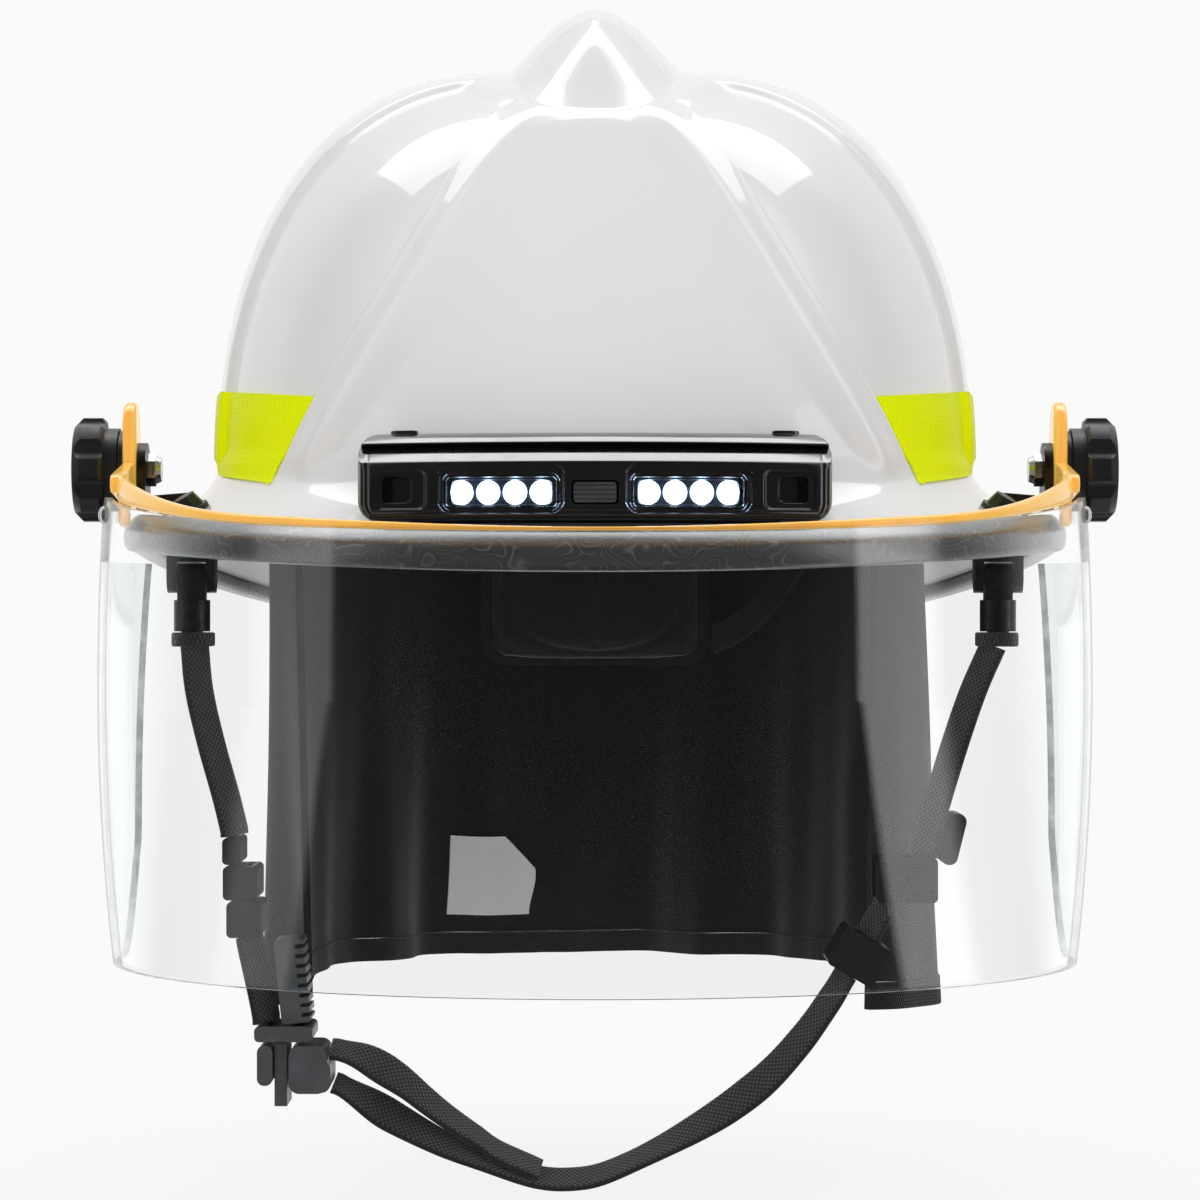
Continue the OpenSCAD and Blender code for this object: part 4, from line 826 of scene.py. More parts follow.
@dataclass(frozen=True)
class ShellForm:
    """Sizes of the moulded shell and the formulas of its surfaces, as arrays."""

    body: tuple[float, float] = (226.0, 260.0)
    brim: tuple[float, float] = (282.0, 340.0)
    foot: tuple[float, float] = (51.0, 196.0)
    crown: float = 138.3
    wall: float = 3.2
    comb: float = 18.4
    panel_dip: float = 4.4
    side_dip: float = 2.2
    rib: float = 1.2
    front_dip: float = 7.3
    rear_dip: float = 28.0
    web: float = 2.4
    lip: float = 2.0
    flare: float = 12.0
    fillet: float = 3.5
    edge_mid: float = 5.0
    wall_mid: float = 2.0
    comb_mid: float = 6.0
    squareness: float = 2.25
    crown_falls: tuple[float, float] = (21.3, 27.0)
    field_lines: int = 7

    def brim_height(self, y: Array) -> Array:
        """Height of the middle of the brim's edge: a power curve down to the front and the rear."""
        front, rear = self.brim[1] / 2 - self.edge_mid, self.brim[1] / 2 + self.edge_mid
        return np.where(y < 0, -self.front_dip * (np.maximum(-y, 0) / front) ** 1.8,
                        -self.rear_dip * (np.maximum(y, 0) / rear) ** 1.4)

    def crown_line(self, y: Array) -> Array:
        """Height of the crown along Y: it falls by a power of the distance from the comb's middle."""
        away = y - self.comb_mid
        return self.crown - np.where(away < 0, *self.crown_falls) * (np.abs(away) / (self.foot[1] / 2)) ** 2.2

    def edge_ring(self, th: Array) -> Array:
        """Plan of the brim's edge under the edging."""
        return oval(self.brim[0] / 2 - self.web, self.brim[1] / 2 - self.web, self.edge_mid, 2.08, th)

    def base_ring(self, th: Array) -> Array:
        """Plan of the foot of the wall."""
        return oval(self.body[0] / 2, self.body[1] / 2, self.wall_mid, self.squareness, th)

    def foot_ring(self, th: Array) -> Array:
        """Plan of the foot of the comb."""
        return oval(self.foot[0] / 2, self.foot[1] / 2, self.comb_mid, 3.5, th)

    def brim_pt(self, th: Array, f: Array, up: float = 0, inwards: Union[float, Array] = 0) -> Array:
        """A point of the brim.

        Formula: the plan runs straight from edge to wall by f; the height is that of the edge plus
        a flare of (f - 0.2)/0.8 to the power 1.2 and a fillet of f to the power 8.

        Args:
            th: Radians from the front.
            f: Share of the way from the edge to the wall.
            up: Height added.
            inwards: Distance the plan is moved towards the wall.

        Returns:
            Points.
        """
        e, b = self.edge_ring(th), self.base_ring(th)
        f = np.asarray(f, float)[..., None] + 0 * th[..., None]
        p = e + (b - e) * f + unit(b - e) * (inwards + 0 * f)
        u = np.maximum(0, f - 0.2) / 0.8
        z = (self.brim_height((e + (b - e) * u)[..., 1:]) + self.lip + self.flare * u**1.2
             + self.fillet * f**8 + up)
        return np.concatenate([p, z], -1)

    def wall_pt(self, th: Array, tau: Array, off: Union[float, Array] = 0) -> Array:
        """A point of the wall.

        Formula: between the comb's foot and the wall's base the plan follows cos(90 tau)^(2/p) and
        the height sin(90 tau)^(2/2.25), with p from 1.6 in front and 2 behind to 2.4 at the sides;
        off moves the point along that curve's own normal.

        Args:
            th: Radians from the front.
            tau: Share of the way up.
            off: Distance outwards.

        Returns:
            Points.
        """
        b, f = self.base_ring(th), self.foot_ring(th)
        zb = self.brim_height(b[..., 1]) + self.lip + self.flare + self.fillet
        zf = self.crown_line(f[..., 1])
        ends = np.where(np.cos(th) > 0, 1.6, 2.0)
        p = ends + (2.4 - ends) * np.sin(th) ** 2
        a = math.pi / 2 * np.asarray(tau, float)
        k = self.squareness
        out, up = np.maximum(np.cos(a), 1e-9) ** (2 / p), np.maximum(np.sin(a), 0) ** (2 / k)
        d = b - f
        reach = np.linalg.norm(d, axis=-1)
        n = unit(np.stack([p * out ** (p - 1) / reach, k * up ** (k - 1) / (zf - zb)], -1))
        q = f + d * out[..., None] + unit(d) * (off * n[..., 0])[..., None]
        return np.concatenate([q, (zb + (zf - zb) * up + off * n[..., 1])[..., None]], -1)

    def comb_pt(self, th: Array, s: Array, inwards: float = 0) -> Array:
        """A point of the comb, s from 1 at its foot to 0 at its crest.

        Formula: ovals that narrow to a line while their height above the crown line grows by
        (1 - s^2)^1.3.

        Args:
            th: Radians from the front.
            s: Share of the foot's width.
            inwards: Distance inside the surface.

        Returns:
            Points.
        """
        s = np.asarray(s, float) + 0 * th
        power = 2.4 + 1.1 * s
        x = (self.foot[0] / 2 * s - inwards * s) * signed_power(np.sin(th), 2 / power)
        mid, half = self.comb_mid - 4 * (1 - s), self.foot[1] / 2 - 30 * (1 - s) - inwards
        y = mid - half * signed_power(np.cos(th), 2 / power)
        z = self.crown_line(y) + self.comb * np.maximum(0, 1 - s * s) ** 1.3 - 1.4 * inwards
        return np.stack([x, y, z], -1)

    def between(self, lines: Sequence[Array], g: Array, step: tuple[int, ...] = (),
                ease: bool = False) -> Array:
        """A value at column g, between those of the field lines on either side.

        Formula: straight from line to line, or smoothstep where eased, with a steeper smoothstep
        over the middle 60 % in the intervals that are steps.

        Args:
            lines: The value along each line.
            g: Column, counted in lines from the front.
            step: Intervals in which a field's edge is crossed.
            ease: Whether the other intervals are eased too.

        Returns:
            The value at each column.
        """
        table = np.stack(np.broadcast_arrays(*lines), 0)
        k = np.minimum(self.field_lines - 1, np.floor(g)).astype(int)
        low, high = (np.take_along_axis(table, k[None] + i, 0)[0] for i in (0, 1))
        t = g - k
        if ease:
            t = np.where(np.isin(k, step), smooth((t - 0.2) / 0.6), smooth(t))
        return low + (high - low) * t

    def column_angle(self, g: Array, tau: Array) -> Array:
        """Angle of a column at a height: straight between the eight field lines, which lean with tau."""
        rib = 18 + 26.2 * (1 - tau) ** 3.2
        return np.radians(self.between((
            0 * rib, rib * (0.92 - 0.6 * tau), rib, rib + 5 + 12 * tau**3, rib + 7.5 + 12 * tau**3,
            73 - 13 * tau, 76 - 13 * tau, 180 + 0 * tau), g))

    def dip(self, g: Array, tau: Array) -> Array:
        """How far the surface stands out of the plain wall: the fields' depths, stepped between."""
        base = smooth(tau / 0.03)
        front, side = base * smooth((1 - tau) / 0.35), base * smooth((0.95 - tau) / 0.07)
        rib = self.rib * base * smooth((1 - tau) / 0.08)
        return self.between((-self.panel_dip * front, -0.7 * self.panel_dip * front, rib, 0 * tau,
                             -self.side_dip * side, -self.side_dip * side, 0 * tau, 0 * tau), g, (3, 5), True)

    def shell_pt(self, g: Array, tau: Array, off: float = 0) -> Array:
        """A point of the moulded wall on column g, negative on the left half."""
        g, tau = np.broadcast_arrays(np.asarray(g, float), np.asarray(tau, float))
        wall = self.wall_pt(self.column_angle(np.abs(g), tau), tau, self.dip(np.abs(g), tau) + off)
        return mirrored(wall, g < 0)


FORM = ShellForm()
# Columns of the shell from the front to the nape, closer set behind where the fields are wide
HALF = np.concatenate([[0.0]] + [np.linspace(k, k + 1, n)[1:] for k, n in enumerate((9, 9, 9, 9, 15, 9, 46))])
AROUND = np.concatenate([HALF, -HALF[-2:0:-1]])


@dataclass
class Shell:
    """The moulded shell, its rubber edging, its reflective trim and the foam liner under it."""

    form: ShellForm = FORM
    edging: tuple[float, float] = (11.0, 5.5)
    trim: float = 0.6

    def rings(self, kind: Callable[[Array, Array], Array], values: Sequence[float]) -> Array:
        """Rings round the shell, one for each value."""
        return kind(*np.meshgrid(AROUND, np.asarray(values, float), indexing="xy"))

    def on_brim(self, drop: float) -> Callable[[Array, Array], Array]:
        """The brim's points by column and share, its outer face or, dropped, its underside."""
        def points(g: Array, f: Array) -> Array:
            """The brim's points, mirrored on the left half."""
            angle = self.form.column_angle(np.abs(g), 0 * g)
            return mirrored(self.form.brim_pt(angle, f, -drop, drop * f[..., None] ** 4), g < 0)
        return points

    def on_comb(self, inwards: float) -> Callable[[Array, Array], Array]:
        """The comb's points by column and share."""
        def points(g: Array, s: Array) -> Array:
            """The comb's points, mirrored on the left half."""
            angle = self.form.column_angle(np.abs(g), 0 * g + 1)
            return mirrored(self.form.comb_pt(angle, s, inwards), g < 0)
        return points

    def comb_skin(self, values: Array) -> Array:
        """The comb's outer rings, with the ridge that borders its front face.

        Formula: over the plain comb, along its normals, a bead 0.6 mm high where the sum of the
        squares of angle / 52 degrees and (1 - s) / 0.95 is 1, and a hollow 0.25 mm deep inside it.
        """
        plain = self.rings(self.on_comb(0), values)
        normal = unit(np.cross(np.roll(plain, -1, 1) - np.roll(plain, 1, 1), np.gradient(plain, axis=0)))
        normal *= np.where(normal[..., 2:] < 0, -1, 1)
        s = values[:, None] + 0 * AROUND[None]
        th = np.degrees(self.form.column_angle(np.abs(AROUND)[None] + 0 * s, 0 * s + 1))
        field = (th / 52) ** 2 + ((1 - s) / 0.95) ** 2
        off = 0.6 * np.exp(-((field - 1) / 0.1) ** 2) - 0.25 * smooth((1 - field) / 0.5)
        return plain + normal * (off * smooth((0.96 - s) / 0.14) * smooth(s / 0.08))[..., None]

    def build_shell(self) -> None:
        """Lays rings from the inside of the crest down, round the brim's edge and up to the crest."""
        form, w = self.form, self.form.wall
        rows = np.concatenate([np.linspace(0, 0.01, 2), np.linspace(0.02, 0.94, 62), np.linspace(0.95, 1, 6)])
        lift = np.linspace(0, 1, 18)
        rings = np.concatenate([
            self.rings(self.on_comb(w * 0.75), [0, 0.1, 0.25, 0.44, 0.6, 0.74, 0.88]),
            self.rings(lambda g, t: form.shell_pt(g, t, -w), np.linspace(0.95, 0, 26)),
            self.rings(self.on_brim(w), lift[-2::-1]), self.rings(self.on_brim(0), lift[:-1]),
            self.rings(lambda g, t: form.shell_pt(g, t), rows),
            self.comb_skin(np.linspace(0.97, 0, 48))])
        faces = grid_quads(*rings.shape[:2], loop_cols=True)
        new_piece("moulded_shell", rings, faces, SHELL.material(),
                  Place(Body.HELMET, Slot.SHELL, ("outer_shell",)), weld=0.01)

    def build_edging(self) -> None:
        """Carries the edging's channel profile along the brim's edge.

        Formula: the profile's first number runs out from the edge in plan, its second up from the
        middle of the edge.
        """
        h, lip, web = self.edging[0] / 2, self.edging[1], self.form.web
        top, under = self.form.lip, self.form.lip - self.form.wall
        round_out = catmull([
            (web - 4.9, h), (web - 4.0, h - 0.15), (web - 3.0, h - 0.8), (web - 1.8, h - 2.0),
            (web - 0.8, h - 3.3), (web - 0.2, h - 4.5), (web, h - 5.9), (web, 3.5 - h), (web - 0.3, 1.9 - h),
            (web - 1.1, 0.6 - h), (web - 2.2, 0.1 - h), (web - 3.4, -h)], 34).tolist()
        outer = [(-lip + 1, h)] + round_out + [
            (-lip + 1, -h), (-lip + 0.3, 0.3 - h), (-lip, 1.2 - h), (-lip, under - 0.5), (0.2, under - 0.25),
            (0.2, top + 0.2), (-lip, top + 0.45), (-lip, h - 1.2), (-lip + 0.3, h - 0.3)]
        th = circle(360)
        ring, ahead, behind = (self.form.edge_ring(th + d) for d in (0, 0.004, -0.004))
        t = unit(ahead - behind)
        rows = [np.column_stack([ring[:, 0] + t[:, 1] * o, ring[:, 1] - t[:, 0] * o,
                                 self.form.brim_height(ring[:, 1]) + z]) for o, z in outer]
        rings = np.stack(rows)
        faces = grid_quads(*rings.shape[:2], loop_rows=True, loop_cols=True)
        new_piece("edging", rings, faces, RUBBER.material(),
                  Place(Body.HELMET, Slot.EDGING, ("brim_edging",)), sharp=60)

    def film_pt(self, g: Array, t: Array, off: float) -> Array:
        """A point over the foot of the wall: up the wall for t above 0, down the fillet below it."""
        wall = self.form.shell_pt(g, np.maximum(t, 0), off)
        brim = self.on_brim(0)(g, 1 + np.minimum(t, 0))
        base = self.on_brim(0)(g, 1 + 0 * t)
        return wall + (brim - base)

    def build_trim(self) -> None:
        """Lays the film's patches on the shell's own surface, a little above it.

        Formula: across each patch the column runs from its front edge to its rear edge; both edges
        draw in by a quarter circle where the corners are rounded, and the foot drops below the wall
        towards the front edge.
        """
        runs = [(3.55, 6 + 2 / 13, 56), (6 + 5 / 13, 6 + 8 / 13, 20), (6 + 11 / 13, 7 + 2 / 13, 30)]
        sheets = []
        for start, stop, count in runs:
            for side in (1, -1) if stop < 7 else (1,):
                u, w = np.meshgrid(np.linspace(0, 1, count), np.linspace(0, 1, 15), indexing="xy")
                round_in = 1 - np.sqrt(np.clip(1 - (np.maximum(0, np.abs(2 * w - 1) - 0.7) / 0.3) ** 2, 0, 1))
                draw = 0.03 * (stop - start) * round_in if start > 4 else 0.16 * round_in
                g = (start + draw) + (stop - start - 2 * draw) * u
                foot = 0.01 - (0.075 * (1 - u) ** 1.5 if start < 4 else 0)
                t = foot + (0.107 - foot) * w
                g = np.where(g > 7, g - 14, g) * side
                sheets.append(two_sided(self.film_pt(g, t, 0.4 + self.trim), self.film_pt(g, t, 0.4)))
        points, faces = joined(sheets)
        new_piece("lime_trim", points, faces, LIME.material(),
                  Place(Body.HELMET, Slot.TRIM, ("reflective_trim",)), sharp=45)

    def build_liner(self) -> None:
        """The foam liner: the plain wall's surface at two depths, closed at its rim and crown."""
        th = circle(144)
        off = self.form.wall + self.form.panel_dip + 1.9

        def ring(tau: float, depth: float) -> Array:
            """One ring of the liner, its left half mirrored."""
            half = np.where(th <= math.pi, th, 2 * math.pi - th)
            return mirrored(self.form.wall_pt(half, 0 * half + tau, -depth), th > math.pi)

        rows = np.linspace(0.09, 0.995, 30)
        rings = np.stack([ring(t, off) for t in rows[::-1]] + [ring(t, off + 14) for t in rows])
        points, faces = capped(rings)
        new_piece("foam_liner", points, faces, FOAM.material(),
                  Place(Body.HELMET, Slot.LINER, ("impact_liner",)))

    def build(self) -> None:
        """Builds the shell's pieces."""
        self.build_shell()
        self.build_edging()
        self.build_trim()
        self.build_liner()


@dataclass
class FaceShield:
    """The clear sheet, its amber frame, and the pivots and knobs that carry it."""

    radius: float = 145.0
    length: float = 137.0
    drop: float = 125.0
    thickness: float = 2.2
    mid_y: float = -35.0
    end: float = 109.0
    ear_x: tuple[float, float] = (135.15, 138.75)
    pivot: tuple[float, float] = (-22.0, 18.5)
    bore: float = 3.08

    def point(self, angle: Array, v: Array, inwards: Union[float, Array] = 0) -> Array:
        """A point of the sheet.

        Formula: an ellipse in plan whose radii shrink by a quadratic lean above and below the
        middle, from a top line that rises to the ears to a foot line that turns up at the corners.

        Args:
            angle: Degrees from the front, negative on the left.
            v: Share of the way down.
            inwards: Distance inside the outer face.

        Returns:
            Points.
        """
        th = np.abs(angle)
        rise = -1 + 10.5 * np.minimum(th / 80, 1) ** 2.4
        top = np.where(th < 80, rise, 9.5 - 18.5 * smooth((th - 80) / 7))
        reach = self.end - 4 * v
        corner = np.maximum(0, th - 96) / (reach - 96)
        foot = -self.drop + 15 * corner**2.2
        z = top + (foot - top) * v
        lean = np.where(z > -45, 1.5 * ((z + 45) / 50) ** 2, 4 * ((z + 45) / 75) ** 2)
        a = np.radians(th * reach / self.end)
        return np.stack([np.sign(angle) * (self.radius - lean - inwards) * np.sin(a),
                         self.mid_y - (self.length - lean - inwards) * np.cos(a), z], -1)

    def build_sheet(self) -> None:
        """The sheet as a closed skin, its cut rim in a material of its own."""
        half = np.concatenate([np.linspace(0, 76, 58), np.linspace(77, 90, 22),
                               np.linspace(91, self.end, 26)])
        angle, v = np.meshgrid(np.concatenate([-half[:0:-1], half]), np.linspace(0, 1, 40), indexing="xy")
        points, faces = two_sided(self.point(angle, v), self.point(angle, v, self.thickness))
        sheet = new_piece("clear_sheet", points, faces, CLEAR.material(),
                          Place(Body.SHIELD, Slot.SHEET, ("face_shield",)), sharp=40)
        sheet.data.materials.append(CUT_EDGE.material())
        rows, cols = angle.shape
        slots = np.zeros(len(faces), int)
        slots[2 * (rows - 1) * (cols - 1):] = 1
        sheet.data.polygons.foreach_set("material_index", slots)

    @staticmethod
    def hull_outline(circles: Sequence[tuple[float, float, float]], turn: Array) -> Array:
        """The outline round circles: for each direction the farthest point that any of them reaches."""
        way = np.stack([np.cos(turn), np.sin(turn)], -1)
        c = np.array(circles, float)
        far = np.argmax(way @ c[:, :2].T + c[:, 2], -1)
        return c[far, :2] + way * c[far, 2:]

    def ear(self, side: int) -> list[tuple[Array, list]]:
        """One ear: a bored plate round the pivot, the arm to the band and the lug of the rivets.

        Formula: each is an outline carried across its thickness, drawn in by 0.8 mm at both faces.

        Args:
            side: -1 for the left, 1 for the right.

        Returns:
            Points and faces of its three bodies.
        """
        turn = circle(144)
        ring = np.stack([np.cos(turn), np.sin(turn)], -1)
        x0, x1 = self.ear_x
        y, z = self.pivot

        def bevelled(outline: Array, near: float, far: float, ease: float = 0.8) -> list[Array]:
            """Rings over a plate's rounded edge."""
            mid = outline.mean(0)
            out = outline - mid
            shrink = 1 - ease / np.linalg.norm(out, axis=-1, keepdims=True)
            small, between = mid + out * shrink, mid + out * (1 + shrink) / 2
            return [np.column_stack([0 * turn + x, o]) for x, o in (
                (near, small), (near + 0.25, between), (near + ease, outline), (far - ease, outline),
                (far - 0.25, between), (far, small))]

        plate = bevelled(self.hull_outline([(y, z, 11), (y - 3, z + 11.5, 8.4)], turn), x0, x1)
        bore = [np.column_stack([0 * turn + x, (y, z) + ring * self.bore]) for x in (x1, x0)]
        arm = bevelled(self.hull_outline([(-33, 14.6, 5.6), (-64, 13.3, 2.6), (-48, 11.2, 2.6)], turn),
                       x0 + 0.05, x1 - 0.05)
        lug = bevelled(oval(5.3, 6.5, 0, 4.5, turn) + (-61, 7.4), 133.75, 136.35)
        rings = np.stack(plate + bore)
        made = [(rings.reshape(-1, 3), grid_quads(*rings.shape[:2], loop_rows=True, loop_cols=True).tolist()),
                capped(np.stack(arm)), capped(np.stack(lug))]
        return [(points * (side, 1, 1), faces) for points, faces in made]

    def build_frame(self) -> None:
        """The amber frame: a round-edged band in front of the sheet's top, and its two ears.

        Formula: the band's section is a superellipse of power 3, 3.2 mm thick, whose height grows from
        1.1 mm in front to 2.7 mm at the side and 6.8 mm at the ears, its foot on one smooth line.
        """
        th = np.concatenate([np.linspace(0, 60, 61), np.linspace(60.5, 77, 34)])
        th = np.concatenate([-th[:0:-1], th])
        a = np.abs(th)
        u = smooth((a - 40) / 37)
        middle = self.point(th, 0 * th, self.thickness + 2.1)
        height = 1.1 + 1.6 * smooth(a / 40) + 4.1 * u**2
        foot = middle[:, 2] + 0.9 + 2.2 * u - (3.4 + 3.4 * u**2) / 2
        turn = circle(24)
        section = oval(1.6, 0.5, 0, 3, turn)
        out = np.stack([np.sin(np.radians(th)), -np.cos(np.radians(th)), 0 * th], -1)
        rings = (middle * (1, 1, 0))[:, None] + out[:, None] * section[None, :, :1]
        rings[..., 2] = foot[:, None] + height[:, None] * (0.5 + section[None, :, 1])
        points, faces = joined([capped(rings)] + self.ear(-1) + self.ear(1))
        new_piece("amber_frame", points, faces, AMBER.material(),
                  Place(Body.SHIELD, Slot.FRAME, ("shield_frame",)), sharp=60)

    def build(self) -> None:
        """Builds the sheet and its frame and dresses the pivots."""
        self.build_sheet()
        self.build_frame()
        dress(STEEL.material(), "shield_rivets", "pivot_nut_left", "pivot_nut_right")
        dress(BLACK_STEEL.material(), "pivot_bracket_left", "pivot_bracket_right")
        dress(NYLON.material(), "friction_disc_left", "friction_disc_right", "pivot_knob_left",
              "pivot_knob_right", "brim_caps")


@dataclass
class LightBar:
    """The light bar on the brim: case, seat, windows, lit diodes, button and what is inside."""

    front_y: float = -156.0
    radius: float = 150.0
    size: tuple[float, float, float] = (127.5, 21.0, 24.0)
    foot: float = 0.8
    corner: float = 5.6
    under_rise: float = 10.7
    diode: float = 6.6
    pitch: float = 7.2
    row_x: float = 25.0
    row_z: float = 8.8
    row_depth: float = 9.2
    roll: float = 2.2

    def build_diodes(self) -> None:
        """Eight domes on the arc: each a quarter circle carried round its own axis."""
        domes = []
        turn = circle(32)
        rise = np.linspace(0, math.pi / 2, 9)
        for side in (-1, 1):
            for step in (-1.5, -0.5, 0.5, 1.5):
                x = side * self.row_x + step * self.pitch
                a = math.asin(x / (self.radius - self.row_depth))
                out = np.array([math.sin(a), -math.cos(a), 0])
                across = np.array([math.cos(a), math.sin(a), 0])
                r = self.diode / 2 * np.concatenate([[1], 0.92 * np.cos(rise[:-1])])
                h = np.concatenate([[0], 0.6 + 1.6 * np.sin(rise[:-1])])
                centre = np.array([0, self.front_y + self.radius, self.row_z])
                mid = centre + out * (self.radius - self.row_depth)
                rings = (mid + out * h[:, None, None]
                         + across * (r[:, None] * np.cos(turn))[..., None]
                         + np.array([0, 0, 1]) * (r[:, None] * np.sin(turn))[..., None])
                domes.append(capped(rings))
        points, faces = joined(domes)
        new_piece("diode_domes", points, faces, DIODE.material(),
                  Place(Body.HELMET, Slot.DIODE, ("led_emitters",)), sharp=40)

    def behind(self, x: Array, depth: Union[float, Array], z: Array) -> Array:
        """Points at x across, a depth behind the bar's curved front measured towards its centre."""
        y = self.front_y + self.radius - np.sqrt((self.radius - depth) ** 2 - x**2)
        return np.stack([x, y, z], -1)

    @staticmethod
    def sunk(x: Array, z: Array, middle: tuple[float, float], size: tuple[float, float],
             corner: float) -> Array:
        """1 inside a rounded rectangle, 0 outside, eased over 0.5 mm across its outline.

        Args:
            x: Places across.
            z: Heights.
            middle: Its middle.
            size: Its width and height.
            corner: Its corner radius.

        Returns:
            The share sunk at each point.
        """
        over = [np.maximum(np.abs(a - m) - s / 2 + corner, 0) for a, m, s in zip((x, z), middle, size)]
        return smooth((corner + 0.25 - np.hypot(*over)) / 0.5)

    @staticmethod
    def rolled(height: Array, at: Sequence[float], lean: Sequence[float]) -> Array:
        """How far a face has leaned back at a height: its lean's tangent, summed up from below.

        Args:
            height: Heights in millimetres.
            at: Heights of the table, rising.
            lean: Degrees from upright at each.

        Returns:
            Depths, 0 at the table's foot.
        """
        fine = np.linspace(at[0], at[-1], 400)
        slope = np.tan(np.radians(np.interp(fine, at, lean)))
        depth = np.concatenate([[0], np.cumsum((slope[1:] + slope[:-1]) / 2 * (fine[1] - fine[0]))])
        return np.interp(height, fine, depth)

    def face_depth(self, x: Array, z: Array, edge: Array) -> Array:
        """How far the front lies behind the foremost arc.

        Formula: below and above the seam the face leans back by tables of angles, each with a flat
        shoulder that catches the lamps, and round the outline it rolls by a circle of 2.2 mm; pockets
        for the lamps, the button and the screws are sunk by rounded rectangles, and the seam and the
        lines of the cover are narrow grooves.

        Args:
            x: Places across.
            z: Heights.
            edge: Distance inside the outline.

        Returns:
            Depths.
        """
        top = self.foot + self.size[2]
        seam = top - 3.3
        cover = self.rolled(z - seam, (-7.5, -5.0, -4.4, -2.2, -2.0, 0.0), (0, 20, 54, 57, 62, 62))
        brow = 5.0 + self.rolled(z - seam, (0.0, 0.5, 0.7, 2.1, 2.3, 3.3), (15, 30, 54, 57, 68, 74))
        depth = np.where(z > seam, brow, cover)
        depth += 0.7 * np.exp(-((z - seam) / 0.35) ** 2)
        rounding = 1 - np.sqrt(1 - np.clip(1 - edge / self.roll, 0, 0.98) ** 2)
        depth = np.maximum(depth, self.roll * rounding)
        cover_line = np.abs(edge - 2.6) + np.where(z > seam - 1.5, 9, 0)
        depth += 0.25 * np.exp(-(cover_line / 0.25) ** 2)
        row, screw = self.row_z, self.foot + 8.7
        # Depth, middle, size and corner of each pocket: three round the lamps, two round the screws
        pockets = ((1.3, (self.row_x, row + 0.9), (33.4, 13.2), 3.4),
                   (2.3, (self.row_x, row), (31.4, 10.0), 2.6), (9.35, (self.row_x, row), (29.2, 7.8), 1.2),
                   (0.8, (52.2, screw), (13.8, 10.4), 2.0), (4.6, (53.0, screw), (8.0, 6.8), 1.5))
        for deep, middle, size, corner in pockets:
            depth = np.maximum(depth, deep * self.sunk(np.abs(x), z, middle, size, corner))
        return np.maximum(depth, 5.2 * self.sunk(x, z, (0, self.foot + 7.8), (11.9, 5.9), 1.0))

    def build_case(self) -> None:
        """The case as one closed skin: the worked front, the flat back and a rim between them.

        Formula: rows run up the bar and columns across it, drawn in at the ends by the outline's
        rounded corners; behind 9 mm the foot rises in a straight slope over the brim.
        """
        w, deep, h = self.size
        mid = self.foot + h / 2
        z, share = np.meshgrid(np.linspace(self.foot, self.foot + h, 121), np.linspace(-1, 1, 427),
                               indexing="ij")
        over = np.clip((np.abs(z - mid) - h / 2 + self.corner) / self.corner, 0, 1)
        half = w / 2 - self.corner * (1 - np.sqrt(1 - over**2))
        x = share * half
        edge = np.minimum(h / 2 - np.abs(z - mid), (1 - np.abs(share)) * half)
        sunk = self.face_depth(x, z, edge)
        front = self.behind(x, sunk, z)

        def slice_at(depth: float) -> Array:
            """The outline's grid at a depth or just behind the front, its foot lifted over the brim."""
            back = np.maximum(sunk + depth / 40, depth)
            lift = self.foot + np.maximum(0.0, back - 9) / 13 * self.under_rise
            return self.behind(x, back, np.maximum(z, lift * (z < mid) + self.foot * (z >= mid)))

        n, m = x.shape
        rim = rim_of(n, m)
        loops = [slice_at(d).reshape(-1, 3)[rim] for d in (3.0, 9.0)]
        quads, k, r = grid_quads(n, m), n * m, len(rim)
        rings = [rim, k + np.arange(r), k + r + np.arange(r), k + 2 * r + rim]
        sides = [np.stack([a, np.roll(a, -1), np.roll(b, -1), b], -1) for a, b in zip(rings, rings[1:])]
        points = np.vstack([front.reshape(-1, 3)] + loops + [slice_at(deep).reshape(-1, 3)])
        faces = np.vstack([quads[:, ::-1], quads + k + 2 * r] + sides)
        flat = oval(3.85, 3.6, 0, 7, circle(32))
        tabs = [capped(np.stack([
            self.behind(middle + flat[:, 0] * share, 14 + flat[:, 1], 0 * flat[:, 0] + self.foot + h + up)
            for share, up in ((1, -0.6), (1, 0.55), (0.96, 0.8), (0.88, 0.9))])) for middle in (-51.5, 51.5)]
        points, faces = joined([(points, faces)] + tabs)
        new_piece("light_case", points, faces, LIGHT_CASE.material(),
                  Place(Body.HELMET, Slot.LIGHT, ("light_housing",)), weld=0.002)

    def build_bezels(self) -> None:
        """Two frames that hide the board round the diodes: a rounded plate with a raised lip.

        Formula: rings of a superellipse of power 8 grow from the middle to the window's size while
        the depth falls from the board to 1.4 mm before it.
        """
        turn = circle(96)
        profile = ((0.02, 9.05), (0.5, 9.05), (0.9, 9.05), (0.93, 8.2), (0.95, 7.7), (1.0, 7.7), (1.0, 9.1),
                   (0.02, 9.1))
        frames = []
        for side in (-1, 1):
            rows = []
            for share, depth in profile:
                p = oval(14.3 * share, 3.65 * share, 0, 8, turn)
                rows.append(self.behind(side * self.row_x + p[:, 0], depth, self.row_z + p[:, 1]))
            frames.append(capped(np.stack(rows)))
        points, faces = joined(frames)
        new_piece("diode_frames", points, faces, BEZEL.material(), Place(Body.HELMET, Slot.LIGHT), sharp=40)

